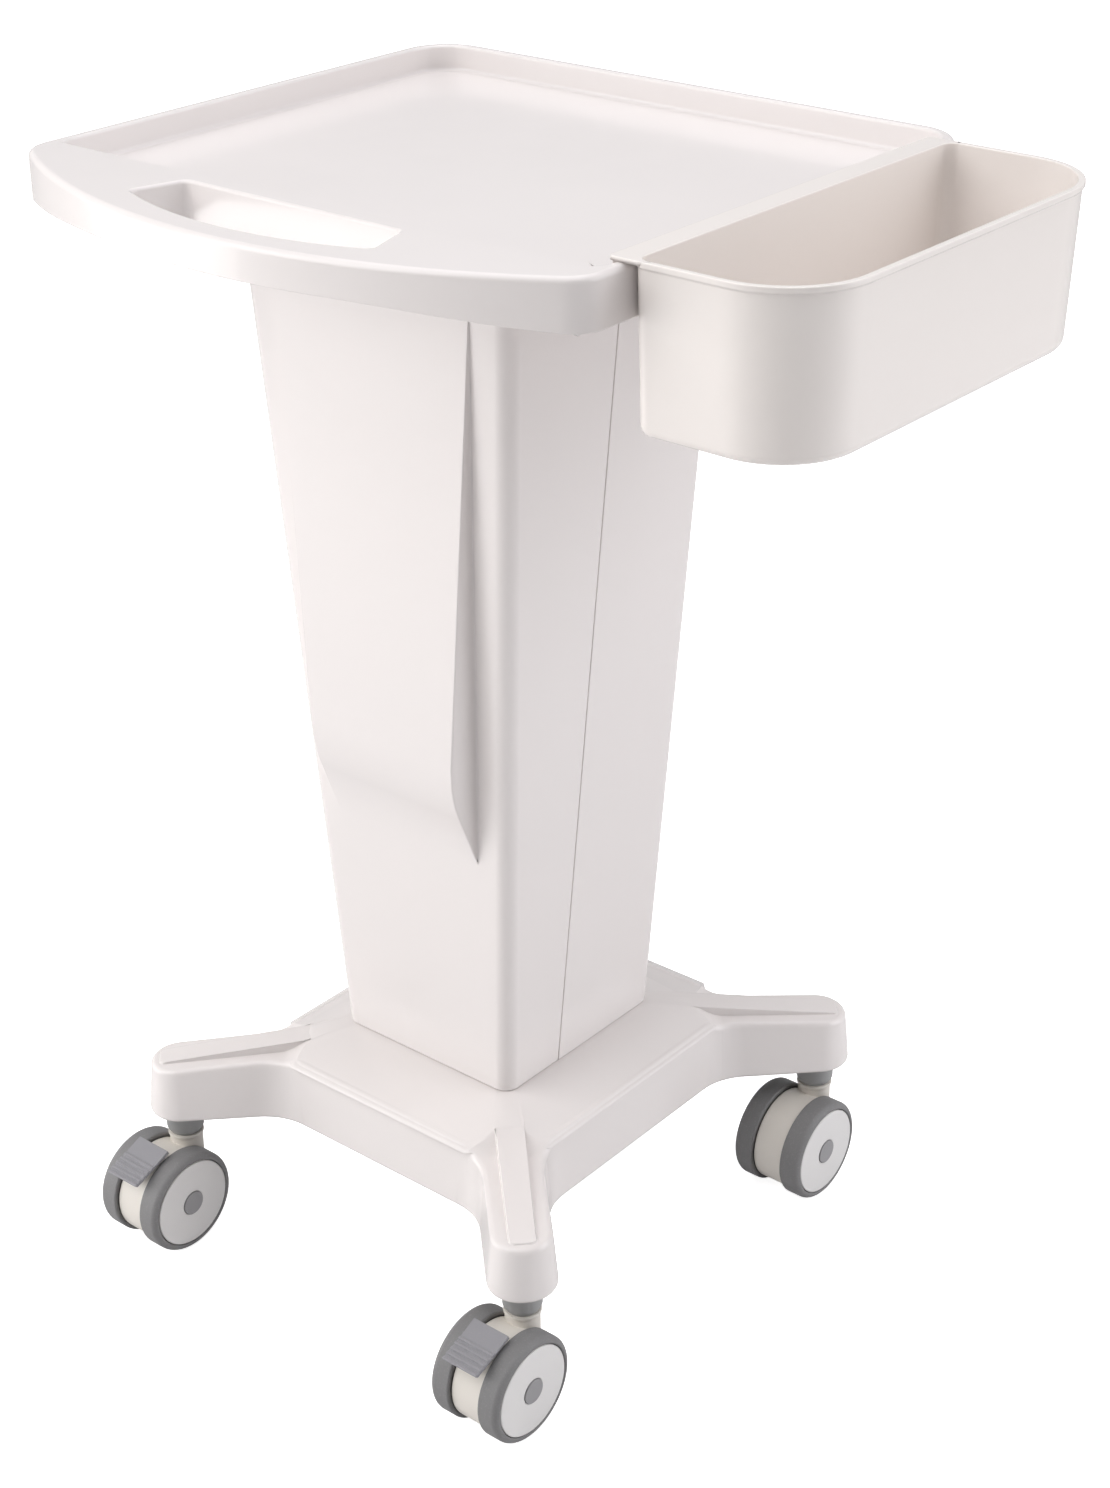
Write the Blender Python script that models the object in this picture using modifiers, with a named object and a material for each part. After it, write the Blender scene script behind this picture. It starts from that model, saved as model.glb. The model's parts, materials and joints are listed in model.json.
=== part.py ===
"""Salon trolley: a moulded tray on a tapered column, an X base on four twin-wheel casters and a
hang-on side bin.

Units are metres and +Z is up. The trolley's front, with the hand grip, faces -Y, and the bin hangs on
the +X side. The floor is z = 0. The tray and the base are designed about the column's axis; the root
empty then moves the whole trolley so that the origin is the bottom centre of its bounding box.
"""
import math

import bmesh
import bpy
from mathutils import Matrix, Vector

# Fits
GAP = 0.0003                    # between faces that touch
RUNNING = 0.0003                # radial clearance of a shaft in its bore
CUT_PAST = 0.004                # how far a cutter reaches past the face that it opens

# Tray
TRAY_TOP = 0.7785               # rim crest above the floor
TRAY_HALF_WIDTH = 0.2195
TRAY_BACK = 0.205               # from the column's axis to the back edge
TRAY_FRONT = 0.242              # from the column's axis to the tip of the bowed front
TRAY_BOW_RADIUS = 0.388
TRAY_FRONT_CORNER = 0.026
TRAY_BACK_CORNER = 0.035
TRAY_EDGE_RADIUS = 0.004
TRAY_SKIRT = 0.031              # height of the outer skirt
TRAY_WALL = 0.003
TRAY_RIM = 0.008                # width of the raised rim
RECESS_DEPTH = 0.0175
RECESS_FRONT = 0.1555           # from the column's axis to the crest of the front ramp
RECESS_RAMP = 0.0435            # length of the concave ramp
RECESS_FRONT_CORNER = 0.021
GRIP_WIDTH = 0.0195             # bar between the hand slot and the front edge, in its middle
SLOT_BOW_RADIUS = 0.240
SLOT_BACK = 0.168
SLOT_BACK_HALF = 0.084
SLOT_FRONT_HALF = 0.095
SLOT_CORNER = 0.006
ARCH_SKIRT = 0.0215             # skirt height left under the grip
ARCH_FLAT_HALF = 0.110
ARCH_HALF_SPAN = 0.216
ARCH_CORNER = 0.8
ARCH_BACK = 0.140               # the arch is cut in front of this line

# Side bin
BIN_TRAY_CLEARANCE = 0.001
BIN_FRONT = 0.142
BIN_BACK = 0.172
BIN_WIDTH = 0.1155              # over its lip
BIN_DEPTH = 0.099
BIN_WALL = 0.0025
BIN_DRAFT = 0.0035              # how far the outer walls lean in over the depth
BIN_LIP = 0.0015
BIN_LIP_HEIGHT = 0.004
BIN_OUTER_CORNER = 0.055
BIN_INNER_CORNER = 0.010
BIN_FLOOR_ROUND = 0.006
FLANGE_THICKNESS = 0.0025
FLANGE_REACH = 0.013            # from the tray's side edge inwards
FLANGE_HOOK = 0.007             # drop of the hook inside the rim
FLANGE_CORNER = 0.004

# Column
COLUMN_FOOT_HALF_X = 0.0752
COLUMN_FOOT_HALF_Y = 0.0790
COLUMN_TOP_HALF_X = 0.1110
COLUMN_TOP_HALF_Y = 0.1064
COLUMN_FORWARD = 0.0035         # the shells' middle, in front of the mast's axis
COLUMN_CORNER = 0.011
COLUMN_WALL = 0.003
SEAM_FOOT_Y = -0.0284
SEAM_TOP_Y = -0.0014
SEAM_GAP = 0.0004
PANEL_TOP_HALF = 0.0760         # raised front panel, half width at the top edge
PANEL_FOOT_HALF = 0.0590
PANEL_DROP = 0.035              # column top down to where the panel starts
PANEL_LENGTH = 0.326            # from there down to its furthest edge
PANEL_CHAMFER = 0.059           # height over which it runs back to the column's face
PANEL_PROUD = 0.0247

# Mast inside the column
MAST_SIDE = 0.050
MAST_WALL = 0.0025
MAST_CORNER = 0.005
BRACKET_SIDE = 0.150
BRACKET_THICKNESS = 0.004
FOOT_PLATE_SIDE = 0.110
FOOT_PLATE_THICKNESS = 0.006
PLATE_CORNER = 0.008
BOLT_SPACING = 0.080
BOLT_RADIUS = 0.003
BOLT_HEAD_RADIUS = 0.0058
BOLT_HEAD_HEIGHT = 0.004
BOLT_LENGTH = 0.022

# Base cover
BASE_BOTTOM = 0.097
BASE_WALL = 0.003
HUB_HALF_X = 0.122
HUB_HALF_Y = 0.1335
HUB_EDGE_HEIGHT = 0.147
HUB_TOP = 0.1605
HUB_DRAFT = 0.003
ARM_HALF_WIDTH = 0.0235
ARM_ROOT_FILLET = 0.045
SHOULDER_HEIGHT = 0.1372        # ledge beside the band, at the arm's tip
SHOULDER_RISE = 0.0058          # how much higher the ledge is where the ramp meets it
SHOULDER_START = 0.133          # from the column's axis along the arm to the top of the ramp
SHOULDER_RAMP = 0.021
RAMP_TOP = 0.1555
BAND_HALF_WIDTH = 0.0095
BAND_END = 0.014                # band's end past the caster's axis
BAND_OVERLAP = 0.006            # how far the band runs into the hub
BAND_ROOT_HEIGHT = 0.1535
BAND_TIP_HEIGHT = 0.139
HUB_SHELF = 0.006               # level border round the hub's rise
HUB_RISE_CORNER = 0.02
HUB_ROOM_CORNER = 0.08
BASE_EDGE_RADIUS = 0.004
MAST_PASSAGE = 0.062            # square opening in the cover for the mast

# Base frame
CASTER_X = 0.158                # swivel axes, from the column's axis
CASTER_Y = 0.167
FRAME_BAR_WIDTH = 0.030
FRAME_BAR_HEIGHT = 0.018
FRAME_PLATE_SIDE = 0.124
FRAME_PLATE_THICKNESS = 0.005
SOCKET_RADIUS = 0.012

# Casters
WHEEL_RADIUS = 0.0375
WHEEL_OUTER = 0.0284            # outer face of the wheel, from the caster's middle
WHEEL_INNER = 0.0125
TRAIL = 0.0235
DISC_RADIUS = 0.0321
TYRE_SHOULDER = 0.0045
TYRE_LIP = 0.0008               # the tyre stands back from the disc's face where they meet
TYRE_INNER_EDGE = 0.0012
HUB_CAP_RADIUS = 0.0088
HUB_CAP_THICKNESS = 0.0020
HUB_CAP_SEAT = 0.0015
AXLE_RADIUS = 0.004
AXLE_END_GAP = 0.0005
DRUM_RADIUS = 0.0345
DRUM_HALF_WIDTH = 0.0120
DRUM_EDGE = 0.0012
NECK_RADIUS = 0.0127
NECK_SHOULDER = 0.0750
NECK_STEP = 0.0007
COLLAR_RADIUS = 0.0133
COLLAR_BOTTOM = 0.0778
COLLAR_TAPER = 0.0018
STEM_RADIUS = 0.0055
STEM_BORE_DEPTH = 0.026
STEM_SEAT = 0.024               # stem length inside the frame's socket

# Brake pedals
PEDAL_HALF_WIDTH = 0.0145
PEDAL_THICKNESS = 0.0028
PEDAL_LENGTH = 0.0345
PEDAL_SLOPE = math.radians(20.0)
PEDAL_BACK = 0.031              # rear edge, in front of the swivel axis
PEDAL_HEIGHT = 0.0802           # upper rear edge
PEDAL_RIBS = 5
PEDAL_RIB_PITCH = 0.0042
PEDAL_RIB_HEIGHT = 0.0009
PEDAL_PIVOT_BACK = 0.0345
PEDAL_PIVOT_HEIGHT = 0.0732
PEDAL_EYE_RADIUS = 0.0025
PEDAL_EYE_THICKNESS = 0.0026
PEDAL_LUG_HALF_WIDTH = 0.0045
PEDAL_LUG_RADIUS = 0.0021
PEDAL_PIN_RADIUS = 0.0011

# Facets round a wheel, a hub, a shaft and a screw
WHEEL_STEPS = 28
HUB_STEPS = 20
SHAFT_STEPS = 16
SCREW_STEPS = 12

# Each caster's side (+1 right, +1 back) and whether it has a brake
CASTERS = {
    "front_right": (1, -1, True),
    "front_left": (-1, -1, True),
    "back_right": (1, 1, False),
    "back_left": (-1, 1, False),
}

# Base colour, roughness and metallic value of each material
MATERIALS = {
    "white_abs": ((0.86, 0.85, 0.83), 0.28, 0.0),
    "cream_abs": ((0.86, 0.83, 0.77), 0.32, 0.0),
    "caster_white": ((0.82, 0.80, 0.74), 0.38, 0.0),
    "tyre_grey": ((0.24, 0.24, 0.25), 0.62, 0.0),
    "pedal_grey": ((0.27, 0.28, 0.30), 0.50, 0.0),
    "cap_grey": ((0.38, 0.38, 0.40), 0.45, 0.0),
    "painted_steel": ((0.30, 0.31, 0.32), 0.45, 0.6),
    "zinc_steel": ((0.62, 0.62, 0.63), 0.35, 1.0),
}


# Outlines

def arc(centre, radius, start, end, segments):
    """Points along an arc, both ends included; the angles are in degrees."""
    angles = [math.radians(start + (end - start) * i / segments) for i in range(segments + 1)]
    return [(centre[0] + radius * math.cos(a), centre[1] + radius * math.sin(a)) for a in angles]


def circle(radius):
    """The outline of a hub about the origin."""
    return arc((0.0, 0.0), radius, 0.0, 360.0, HUB_STEPS)[:-1]


def rounded(corners, segments=5):
    """A closed outline from (x, y, radius) corners, each rounded by an arc of its radius."""
    points = []
    count = len(corners)
    for index, (x, y, radius) in enumerate(corners):
        here = Vector((x, y))
        back = (Vector(corners[index - 1][:2]) - here).normalized()
        ahead = (Vector(corners[(index + 1) % count][:2]) - here).normalized()
        half_angle = back.angle(ahead) / 2.0
        if radius == 0.0:
            points.append((x, y))
            continue
        tangent = radius / math.tan(half_angle)
        centre = here + (back + ahead).normalized() * (radius / math.sin(half_angle))
        first = here + back * tangent - centre
        sweep = first.angle_signed(here + ahead * tangent - centre)
        for step in range(segments + 1):
            turned = first.copy()
            turned.rotate(Matrix.Rotation(-sweep * step / segments, 2))
            points.append((centre.x + turned.x, centre.y + turned.y))
    return points


def rectangle(left, right, front, back, front_radius, back_radius, segments=5):
    """A rounded rectangle, seen from above."""
    return rounded([(right, front, front_radius), (right, back, back_radius),
                    (left, back, back_radius), (left, front, front_radius)], segments)


# Solids

def prism(points, low, high, axis="Z"):
    """The solid swept by a flat outline along an axis, from low to high."""
    place = {"X": lambda a, b, c: Vector((c, a, b)),
             "Y": lambda a, b, c: Vector((a, c, b)),
             "Z": lambda a, b, c: Vector((a, b, c))}[axis]
    mesh = bmesh.new()
    face = mesh.faces.new([mesh.verts.new(place(a, b, low)) for a, b in points])
    swept = bmesh.ops.extrude_face_region(mesh, geom=[face])["geom"]
    bmesh.ops.translate(mesh, vec=place(0.0, 0.0, high - low),
                        verts=[v for v in swept if isinstance(v, bmesh.types.BMVert)])
    bmesh.ops.recalc_face_normals(mesh, faces=mesh.faces)
    return mesh


def loft(sections):
    """The solid between outlines of equal point counts, each given as (points, height)."""
    mesh = bmesh.new()
    loops = [[mesh.verts.new((x, y, height)) for x, y in points] for points, height in sections]
    count = len(loops[0])
    for lower, upper in zip(loops, loops[1:]):
        for i in range(count):
            j = (i + 1) % count
            mesh.faces.new((lower[i], lower[j], upper[j], upper[i]))
    mesh.faces.new(list(reversed(loops[0])))
    mesh.faces.new(loops[-1])
    bmesh.ops.recalc_face_normals(mesh, faces=mesh.faces)
    return mesh


def box(low, high):
    """An axis-aligned box between two corners."""
    mesh = bmesh.new()
    bmesh.ops.create_cube(mesh, size=1.0)
    low, high = Vector(low), Vector(high)
    bmesh.ops.scale(mesh, vec=high - low, verts=mesh.verts)
    bmesh.ops.translate(mesh, vec=(high + low) / 2.0, verts=mesh.verts)
    return mesh


def cylinder(radius, low, high, segments=SHAFT_STEPS, axis="Z", centre=(0.0, 0.0, 0.0), edge=0.0):
    """A cylinder along an axis through a centre, with an optional chamfer on both rims."""
    mesh = bmesh.new()
    bmesh.ops.create_cone(mesh, cap_ends=True, segments=segments, radius1=radius, radius2=radius,
                          depth=high - low)
    if edge > 0.0:
        rims = [e for e in mesh.edges if abs(e.verts[0].co.z - e.verts[1].co.z) < edge]
        bmesh.ops.bevel(mesh, geom=rims, offset=edge, segments=1, profile=0.5, affect="EDGES")
    bmesh.ops.translate(mesh, vec=(0.0, 0.0, (low + high) / 2.0), verts=mesh.verts)
    turn = {"Z": Matrix.Identity(3), "X": Matrix.Rotation(math.pi / 2.0, 3, "Y")}[axis]
    bmesh.ops.rotate(mesh, cent=(0.0, 0.0, 0.0), matrix=turn, verts=mesh.verts)
    bmesh.ops.translate(mesh, vec=centre, verts=mesh.verts)
    return mesh


def round_top_edge(mesh, height, radius, segments=2):
    """Round the edges that lie all round the top face."""
    level = [e for e in mesh.edges if all(abs(v.co.z - height) < 1e-6 for v in e.verts)]
    bmesh.ops.bevel(mesh, geom=level, offset=radius, segments=segments, profile=0.5, affect="EDGES")


# Objects

def make_collection(name):
    """A new collection in the scene."""
    collection = bpy.data.collections.new(name)
    bpy.context.scene.collection.children.link(collection)
    return collection


def make_material(name):
    """A Principled material from its row in MATERIALS."""
    colour, roughness, metallic = MATERIALS[name]
    material = bpy.data.materials.new(name)
    material.use_nodes = True
    shader = material.node_tree.nodes["Principled BSDF"]
    shader.inputs["Base Color"].default_value = (*colour, 1.0)
    shader.inputs["Roughness"].default_value = roughness
    shader.inputs["Metallic"].default_value = metallic
    return material


class Workshop:
    """Makes the objects: parts go in one collection, cutters in the other."""

    def __init__(self):
        self.parts = make_collection("salon_trolley")
        self.cutters = make_collection("cutters")

    def empty(self, name, parent=None, location=(0.0, 0.0, 0.0)):
        """An empty that carries pieces."""
        holder = bpy.data.objects.new(name, None)
        self.parts.objects.link(holder)
        holder.parent = parent
        holder.location = location
        return holder

    def part(self, name, mesh, material, parent, location=(0.0, 0.0, 0.0)):
        """One sub-part with its own material."""
        data = bpy.data.meshes.new(name)
        mesh.to_mesh(data)
        mesh.free()
        data.shade_smooth()
        data.set_sharp_from_angle(angle=math.radians(35.0))
        obj = bpy.data.objects.new(name, data)
        self.parts.objects.link(obj)
        obj.parent = parent
        obj.location = location
        own = make_material(material)
        own.name = name + "_" + material
        data.materials.append(own)
        return obj

    def turned(self, name, profile, material, parent, location=(0.0, 0.0, 0.0)):
        """A ring turned about the caster's axle from a closed (radius, along the axle) profile."""
        mesh = bmesh.new()
        verts = [mesh.verts.new((radius, 0.0, along)) for radius, along in profile]
        for start, end in zip(verts, verts[1:] + verts[:1]):
            mesh.edges.new((start, end))
        obj = self.part(name, mesh, material, parent, location)
        obj.rotation_euler.y = math.pi / 2.0
        screw = obj.modifiers.new("turn", "SCREW")
        screw.steps = WHEEL_STEPS
        screw.render_steps = WHEEL_STEPS
        screw.use_merge_vertices = True
        screw.merge_threshold = 0.00005
        return obj

    def cutter(self, name, mesh, parent, location=(0.0, 0.0, 0.0)):
        """A solid that shapes a part and is left out of the build."""
        data = bpy.data.meshes.new(name)
        mesh.to_mesh(data)
        mesh.free()
        obj = bpy.data.objects.new(name, data)
        self.cutters.objects.link(obj)
        obj.parent = parent
        obj.location = location
        obj.hide_render = True
        obj.display_type = "WIRE"
        return obj


def combine(obj, other, operation):
    """Boolean one object with another."""
    modifier = obj.modifiers.new(operation.lower() + "_" + other.name, "BOOLEAN")
    modifier.operation = operation
    modifier.object = other
    modifier.solver = "EXACT"


# Tray

def tray_outline(inset):
    """The tray's plan, drawn in by a wall: square back corners rounded, front bowed."""
    bow_centre = (0.0, TRAY_BOW_RADIUS - TRAY_FRONT)
    corner_x = TRAY_HALF_WIDTH - TRAY_FRONT_CORNER
    reach = TRAY_BOW_RADIUS - TRAY_FRONT_CORNER
    corner_y = bow_centre[1] - math.sqrt(reach ** 2 - corner_x ** 2)
    touch = math.degrees(math.atan2(bow_centre[1] - corner_y, corner_x))
    back_x = TRAY_HALF_WIDTH - TRAY_BACK_CORNER
    back_y = TRAY_BACK - TRAY_BACK_CORNER
    back_radius = TRAY_BACK_CORNER - inset
    front_radius = TRAY_FRONT_CORNER - inset
    points = arc((back_x, back_y), back_radius, 0.0, 90.0, 5)
    points += arc((-back_x, back_y), back_radius, 90.0, 180.0, 5)
    points += arc((-corner_x, corner_y), front_radius, 180.0, 180.0 + touch, 4)
    points += arc(bow_centre, TRAY_BOW_RADIUS - inset, 180.0 + touch, 360.0 - touch, 12)[1:-1]
    points += arc((corner_x, corner_y), front_radius, 360.0 - touch, 360.0, 4)
    return points


def slot_outline(grow):
    """The hand slot's plan: a straight back edge and a front edge that follows the bow."""
    bow_centre_y = SLOT_BOW_RADIUS + GRIP_WIDTH - TRAY_FRONT
    radius = SLOT_BOW_RADIUS + grow
    half = SLOT_FRONT_HALF + grow
    spread = math.degrees(math.asin(half / radius))
    front = arc((0.0, bow_centre_y), radius, 270.0 - spread, 270.0 + spread, 8)
    corners = [(x, y, 0.0) for x, y in front]
    corners[0] = (*front[0], SLOT_CORNER)
    corners[-1] = (*front[-1], SLOT_CORNER)
    corners.append((SLOT_BACK_HALF + grow, -SLOT_BACK + grow, SLOT_CORNER))
    corners.append((-SLOT_BACK_HALF - grow, -SLOT_BACK + grow, SLOT_CORNER))
    return rounded(corners, 3)


def ramp_profile(offset):
    """The fill under the tray's front ramp, as (y, z): a concave parabola down to the floor."""
    crest = Vector((-RECESS_FRONT - offset, TRAY_TOP - offset))
    floor = crest.y - RECESS_DEPTH
    points = []
    for step in range(-1, 7):
        share = step / 6.0
        points.append((crest.x + share * RECESS_RAMP, floor + RECESS_DEPTH * (1.0 - share) ** 2))
    front = points[0][0] - CUT_PAST
    points += [(points[-1][0], floor - CUT_PAST), (front, floor - CUT_PAST), (front, points[0][1])]
    return points


def tray_form(shop, name, root, offset):
    """The tray's form drawn in by an offset: at 0 its outside, at the wall its hollow underside."""
    top = TRAY_TOP - offset
    bottom = TRAY_TOP - TRAY_SKIRT - (CUT_PAST if offset > 0.0 else 0.0)
    body = prism(tray_outline(offset), bottom, top)
    if offset == 0.0:
        round_top_edge(body, top, TRAY_EDGE_RADIUS)
        form = shop.part(name, body, "white_abs", root)
    else:
        form = shop.cutter(name, body, root)
    side = TRAY_HALF_WIDTH - TRAY_RIM + offset
    recess = shop.cutter(name + "_recess", prism(rectangle(
        -side, side, -RECESS_FRONT - CUT_PAST - offset, TRAY_BACK - TRAY_RIM + offset,
        RECESS_FRONT_CORNER + offset, TRAY_BACK_CORNER - TRAY_RIM + offset), top - RECESS_DEPTH,
        top + CUT_PAST), root)
    ramp = shop.cutter(name + "_ramp", prism(ramp_profile(offset), -side - CUT_PAST,
                                             side + CUT_PAST, "X"), root)
    slot = shop.cutter(name + "_slot", prism(slot_outline(offset), bottom - CUT_PAST,
                                             top + CUT_PAST), root)
    combine(recess, ramp, "DIFFERENCE")
    combine(form, recess, "DIFFERENCE")
    combine(form, slot, "DIFFERENCE")
    return form


def make_tray(shop, root):
    """The tray top: one moulding with a raised rim, a front ramp, a hand slot and a skirt."""
    tray = tray_form(shop, "tray_top", root, 0.0)
    hollow = tray_form(shop, "tray_hollow", root, TRAY_WALL)
    combine(tray, hollow, "DIFFERENCE")
    crown = TRAY_TOP - ARCH_SKIRT
    foot = TRAY_TOP - TRAY_SKIRT
    curve = rounded([(-ARCH_FLAT_HALF, crown, ARCH_CORNER), (ARCH_FLAT_HALF, crown, ARCH_CORNER),
                     (ARCH_HALF_SPAN, foot, 0.0), (ARCH_HALF_SPAN, foot - CUT_PAST, 0.0),
                     (-ARCH_HALF_SPAN, foot - CUT_PAST, 0.0), (-ARCH_HALF_SPAN, foot, 0.0)])
    arch = shop.cutter("tray_arch", prism(curve, -TRAY_FRONT - CUT_PAST, -ARCH_BACK, "Y"), root)
    combine(tray, arch, "DIFFERENCE")
    return tray


# Side bin

def bin_outer():
    """The bin's outermost edge, from the column's axis."""
    return TRAY_HALF_WIDTH + BIN_TRAY_CLEARANCE + BIN_WIDTH


def bin_outline(inset, inner_inset):
    """The bin's plan: big outer corners, small corners beside the tray."""
    inner = TRAY_HALF_WIDTH + BIN_TRAY_CLEARANCE + inner_inset
    outer = bin_outer() - inset
    front = -BIN_FRONT + inset
    back = BIN_BACK - inset
    small = BIN_INNER_CORNER - inner_inset
    large = BIN_OUTER_CORNER - inset
    return rounded([(outer, front, large), (outer, back, large),
                    (inner, back, small), (inner, front, small)], 6)


def make_bin(shop, root):
    """The bin and the flange that hooks it over the tray's right rim."""
    top = TRAY_TOP + GAP + FLANGE_THICKNESS
    bottom = top - BIN_DEPTH
    holder = shop.empty("side_bin_slide", root)
    draft = BIN_LIP + BIN_DRAFT
    shell = loft([
        (bin_outline(draft + BIN_FLOOR_ROUND, BIN_FLOOR_ROUND), bottom),
        (bin_outline(draft + 0.3 * BIN_FLOOR_ROUND, 0.3 * BIN_FLOOR_ROUND), bottom + 0.3 * BIN_FLOOR_ROUND),
        (bin_outline(draft, 0.0), bottom + BIN_FLOOR_ROUND),
        (bin_outline(BIN_LIP, 0.0), top - BIN_LIP_HEIGHT),
        (bin_outline(0.0, 0.0), top - BIN_LIP_HEIGHT + BIN_LIP),
        (bin_outline(0.0, 0.0), top),
    ])
    bin_part = shop.part("side_bin", shell, "white_abs", holder)
    left = TRAY_HALF_WIDTH - FLANGE_REACH
    right = TRAY_HALF_WIDTH + BIN_TRAY_CLEARANCE + BIN_INNER_CORNER
    flange = shop.cutter("bin_flange", prism(rectangle(
        left, right, -BIN_FRONT, BIN_BACK, FLANGE_CORNER, FLANGE_CORNER, 3),
        top - FLANGE_THICKNESS, top), holder)
    hook = shop.cutter("bin_hook", box(
        (left, -BIN_FRONT + FLANGE_CORNER, top - FLANGE_THICKNESS - FLANGE_HOOK),
        (left + BIN_WALL, BIN_BACK - FLANGE_CORNER, top - FLANGE_THICKNESS / 2.0)), holder)
    room = shop.cutter("bin_room", loft([
        (bin_outline(draft + BIN_WALL + BIN_FLOOR_ROUND, BIN_WALL + BIN_FLOOR_ROUND), bottom + BIN_WALL),
        (bin_outline(draft + BIN_WALL, BIN_WALL), bottom + BIN_WALL + BIN_FLOOR_ROUND),
        (bin_outline(BIN_LIP + BIN_WALL, BIN_WALL), top + CUT_PAST),
    ]), holder)
    combine(bin_part, flange, "UNION")
    combine(bin_part, hook, "UNION")
    combine(bin_part, room, "DIFFERENCE")


# Column

def column_foot():
    """Height of the column's lower edge."""
    return HUB_TOP + GAP


def column_top():
    """Height of the column's upper edge, just under the tray's floor."""
    return TRAY_TOP - RECESS_DEPTH - TRAY_WALL - GAP


def column_foot_outline(inset):
    """The column's plan where it stands on the base."""
    half_x, half_y = COLUMN_FOOT_HALF_X - inset, COLUMN_FOOT_HALF_Y - inset
    return rectangle(-half_x, half_x, -half_y - COLUMN_FORWARD, half_y - COLUMN_FORWARD,
                     COLUMN_CORNER, COLUMN_CORNER)


def column_solid(inset, past):
    """The column's form, drawn in by a wall and run past both of its ends."""
    low, high = column_foot(), column_top()
    mesh = bmesh.new()
    bmesh.ops.create_cube(mesh, size=2.0)
    for vert in mesh.verts:
        above = vert.co.z > 0.0
        height = high + past if above else low - past
        share = (height - low) / (high - low)
        half_x = COLUMN_FOOT_HALF_X + (COLUMN_TOP_HALF_X - COLUMN_FOOT_HALF_X) * share - inset
        half_y = COLUMN_FOOT_HALF_Y + (COLUMN_TOP_HALF_Y - COLUMN_FOOT_HALF_Y) * share - inset
        vert.co = (vert.co.x * half_x, vert.co.y * half_y - COLUMN_FORWARD, height)
    upright = [e for e in mesh.edges if abs(e.verts[0].co.z - e.verts[1].co.z) > past]
    bmesh.ops.bevel(mesh, geom=upright, offset=COLUMN_CORNER - inset, offset_type="OFFSET", segments=4,
                    profile=0.5, affect="EDGES")
    return mesh


def column_half(seam_side):
    """The column's solid on one side of the seam: -1 is the front, +1 the rear."""
    low, high = column_foot(), column_top()
    mesh = column_solid(0.0, 0.0)
    lean = (SEAM_TOP_Y - SEAM_FOOT_Y) / (high - low)
    normal = Vector((0.0, 1.0, -lean)).normalized() * seam_side
    point = Vector((0.0, SEAM_FOOT_Y, low)) + normal * (SEAM_GAP / 2.0)
    cut = bmesh.ops.bisect_plane(mesh, geom=mesh.verts[:] + mesh.edges[:] + mesh.faces[:], plane_co=point,
                                 plane_no=normal, clear_inner=True)["geom_cut"]
    bmesh.ops.contextual_create(mesh, geom=[e for e in cut if isinstance(e, bmesh.types.BMEdge)])
    bmesh.ops.recalc_face_normals(mesh, faces=mesh.faces)
    return mesh


def panel_solid(inset):
    """The raised front panel: flush at its top, furthest out at its lip and back again at its foot."""
    low, high = column_foot(), column_top()
    top = high - PANEL_DROP
    lip = top - PANEL_LENGTH
    foot = lip - PANEL_CHAMFER

    def face_y(height):
        share = (height - low) / (high - low)
        return -COLUMN_FORWARD - COLUMN_FOOT_HALF_Y - (COLUMN_TOP_HALF_Y - COLUMN_FOOT_HALF_Y) * share + inset

    behind = COLUMN_WALL / 2.0
    profile = [(face_y(top), top), (face_y(lip) - PANEL_PROUD, lip), (face_y(foot), foot),
               (face_y(foot) + behind, foot), (face_y(top) + behind, top)]
    mesh = prism(profile, -1.0, 1.0, "X")
    for vert in mesh.verts:
        share = (vert.co.z - foot) / (top - foot)
        vert.co.x *= PANEL_FOOT_HALF + (PANEL_TOP_HALF - PANEL_FOOT_HALF) * share - inset
    return mesh


def make_column(shop, root):
    """The column's front and rear shells, with a fine seam between them."""
    front = shop.part("column_front_shell", column_half(-1), "white_abs", root)
    rear = shop.part("column_rear_shell", column_half(1), "white_abs", root)
    core = shop.cutter("column_core", column_solid(COLUMN_WALL, CUT_PAST), root)
    combine(front, shop.cutter("column_panel", panel_solid(0.0), root), "UNION")
    combine(front, core, "DIFFERENCE")
    combine(front, shop.cutter("column_panel_hollow", panel_solid(COLUMN_WALL), root), "DIFFERENCE")
    combine(rear, core, "DIFFERENCE")


# Mast

def frame_top():
    """Top of the base frame's bars, just under the cover's shoulders."""
    return SHOULDER_HEIGHT - BASE_WALL - GAP


def bolt_places():
    """The four foot bolts, about the column's axis."""
    half = BOLT_SPACING / 2.0
    return [(half, half), (-half, half), (-half, -half), (half, -half)]


def square(side, radius):
    """A rounded square about the column's axis."""
    half = side / 2.0
    return rectangle(-half, half, -half, half, radius, radius, 3)


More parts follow.
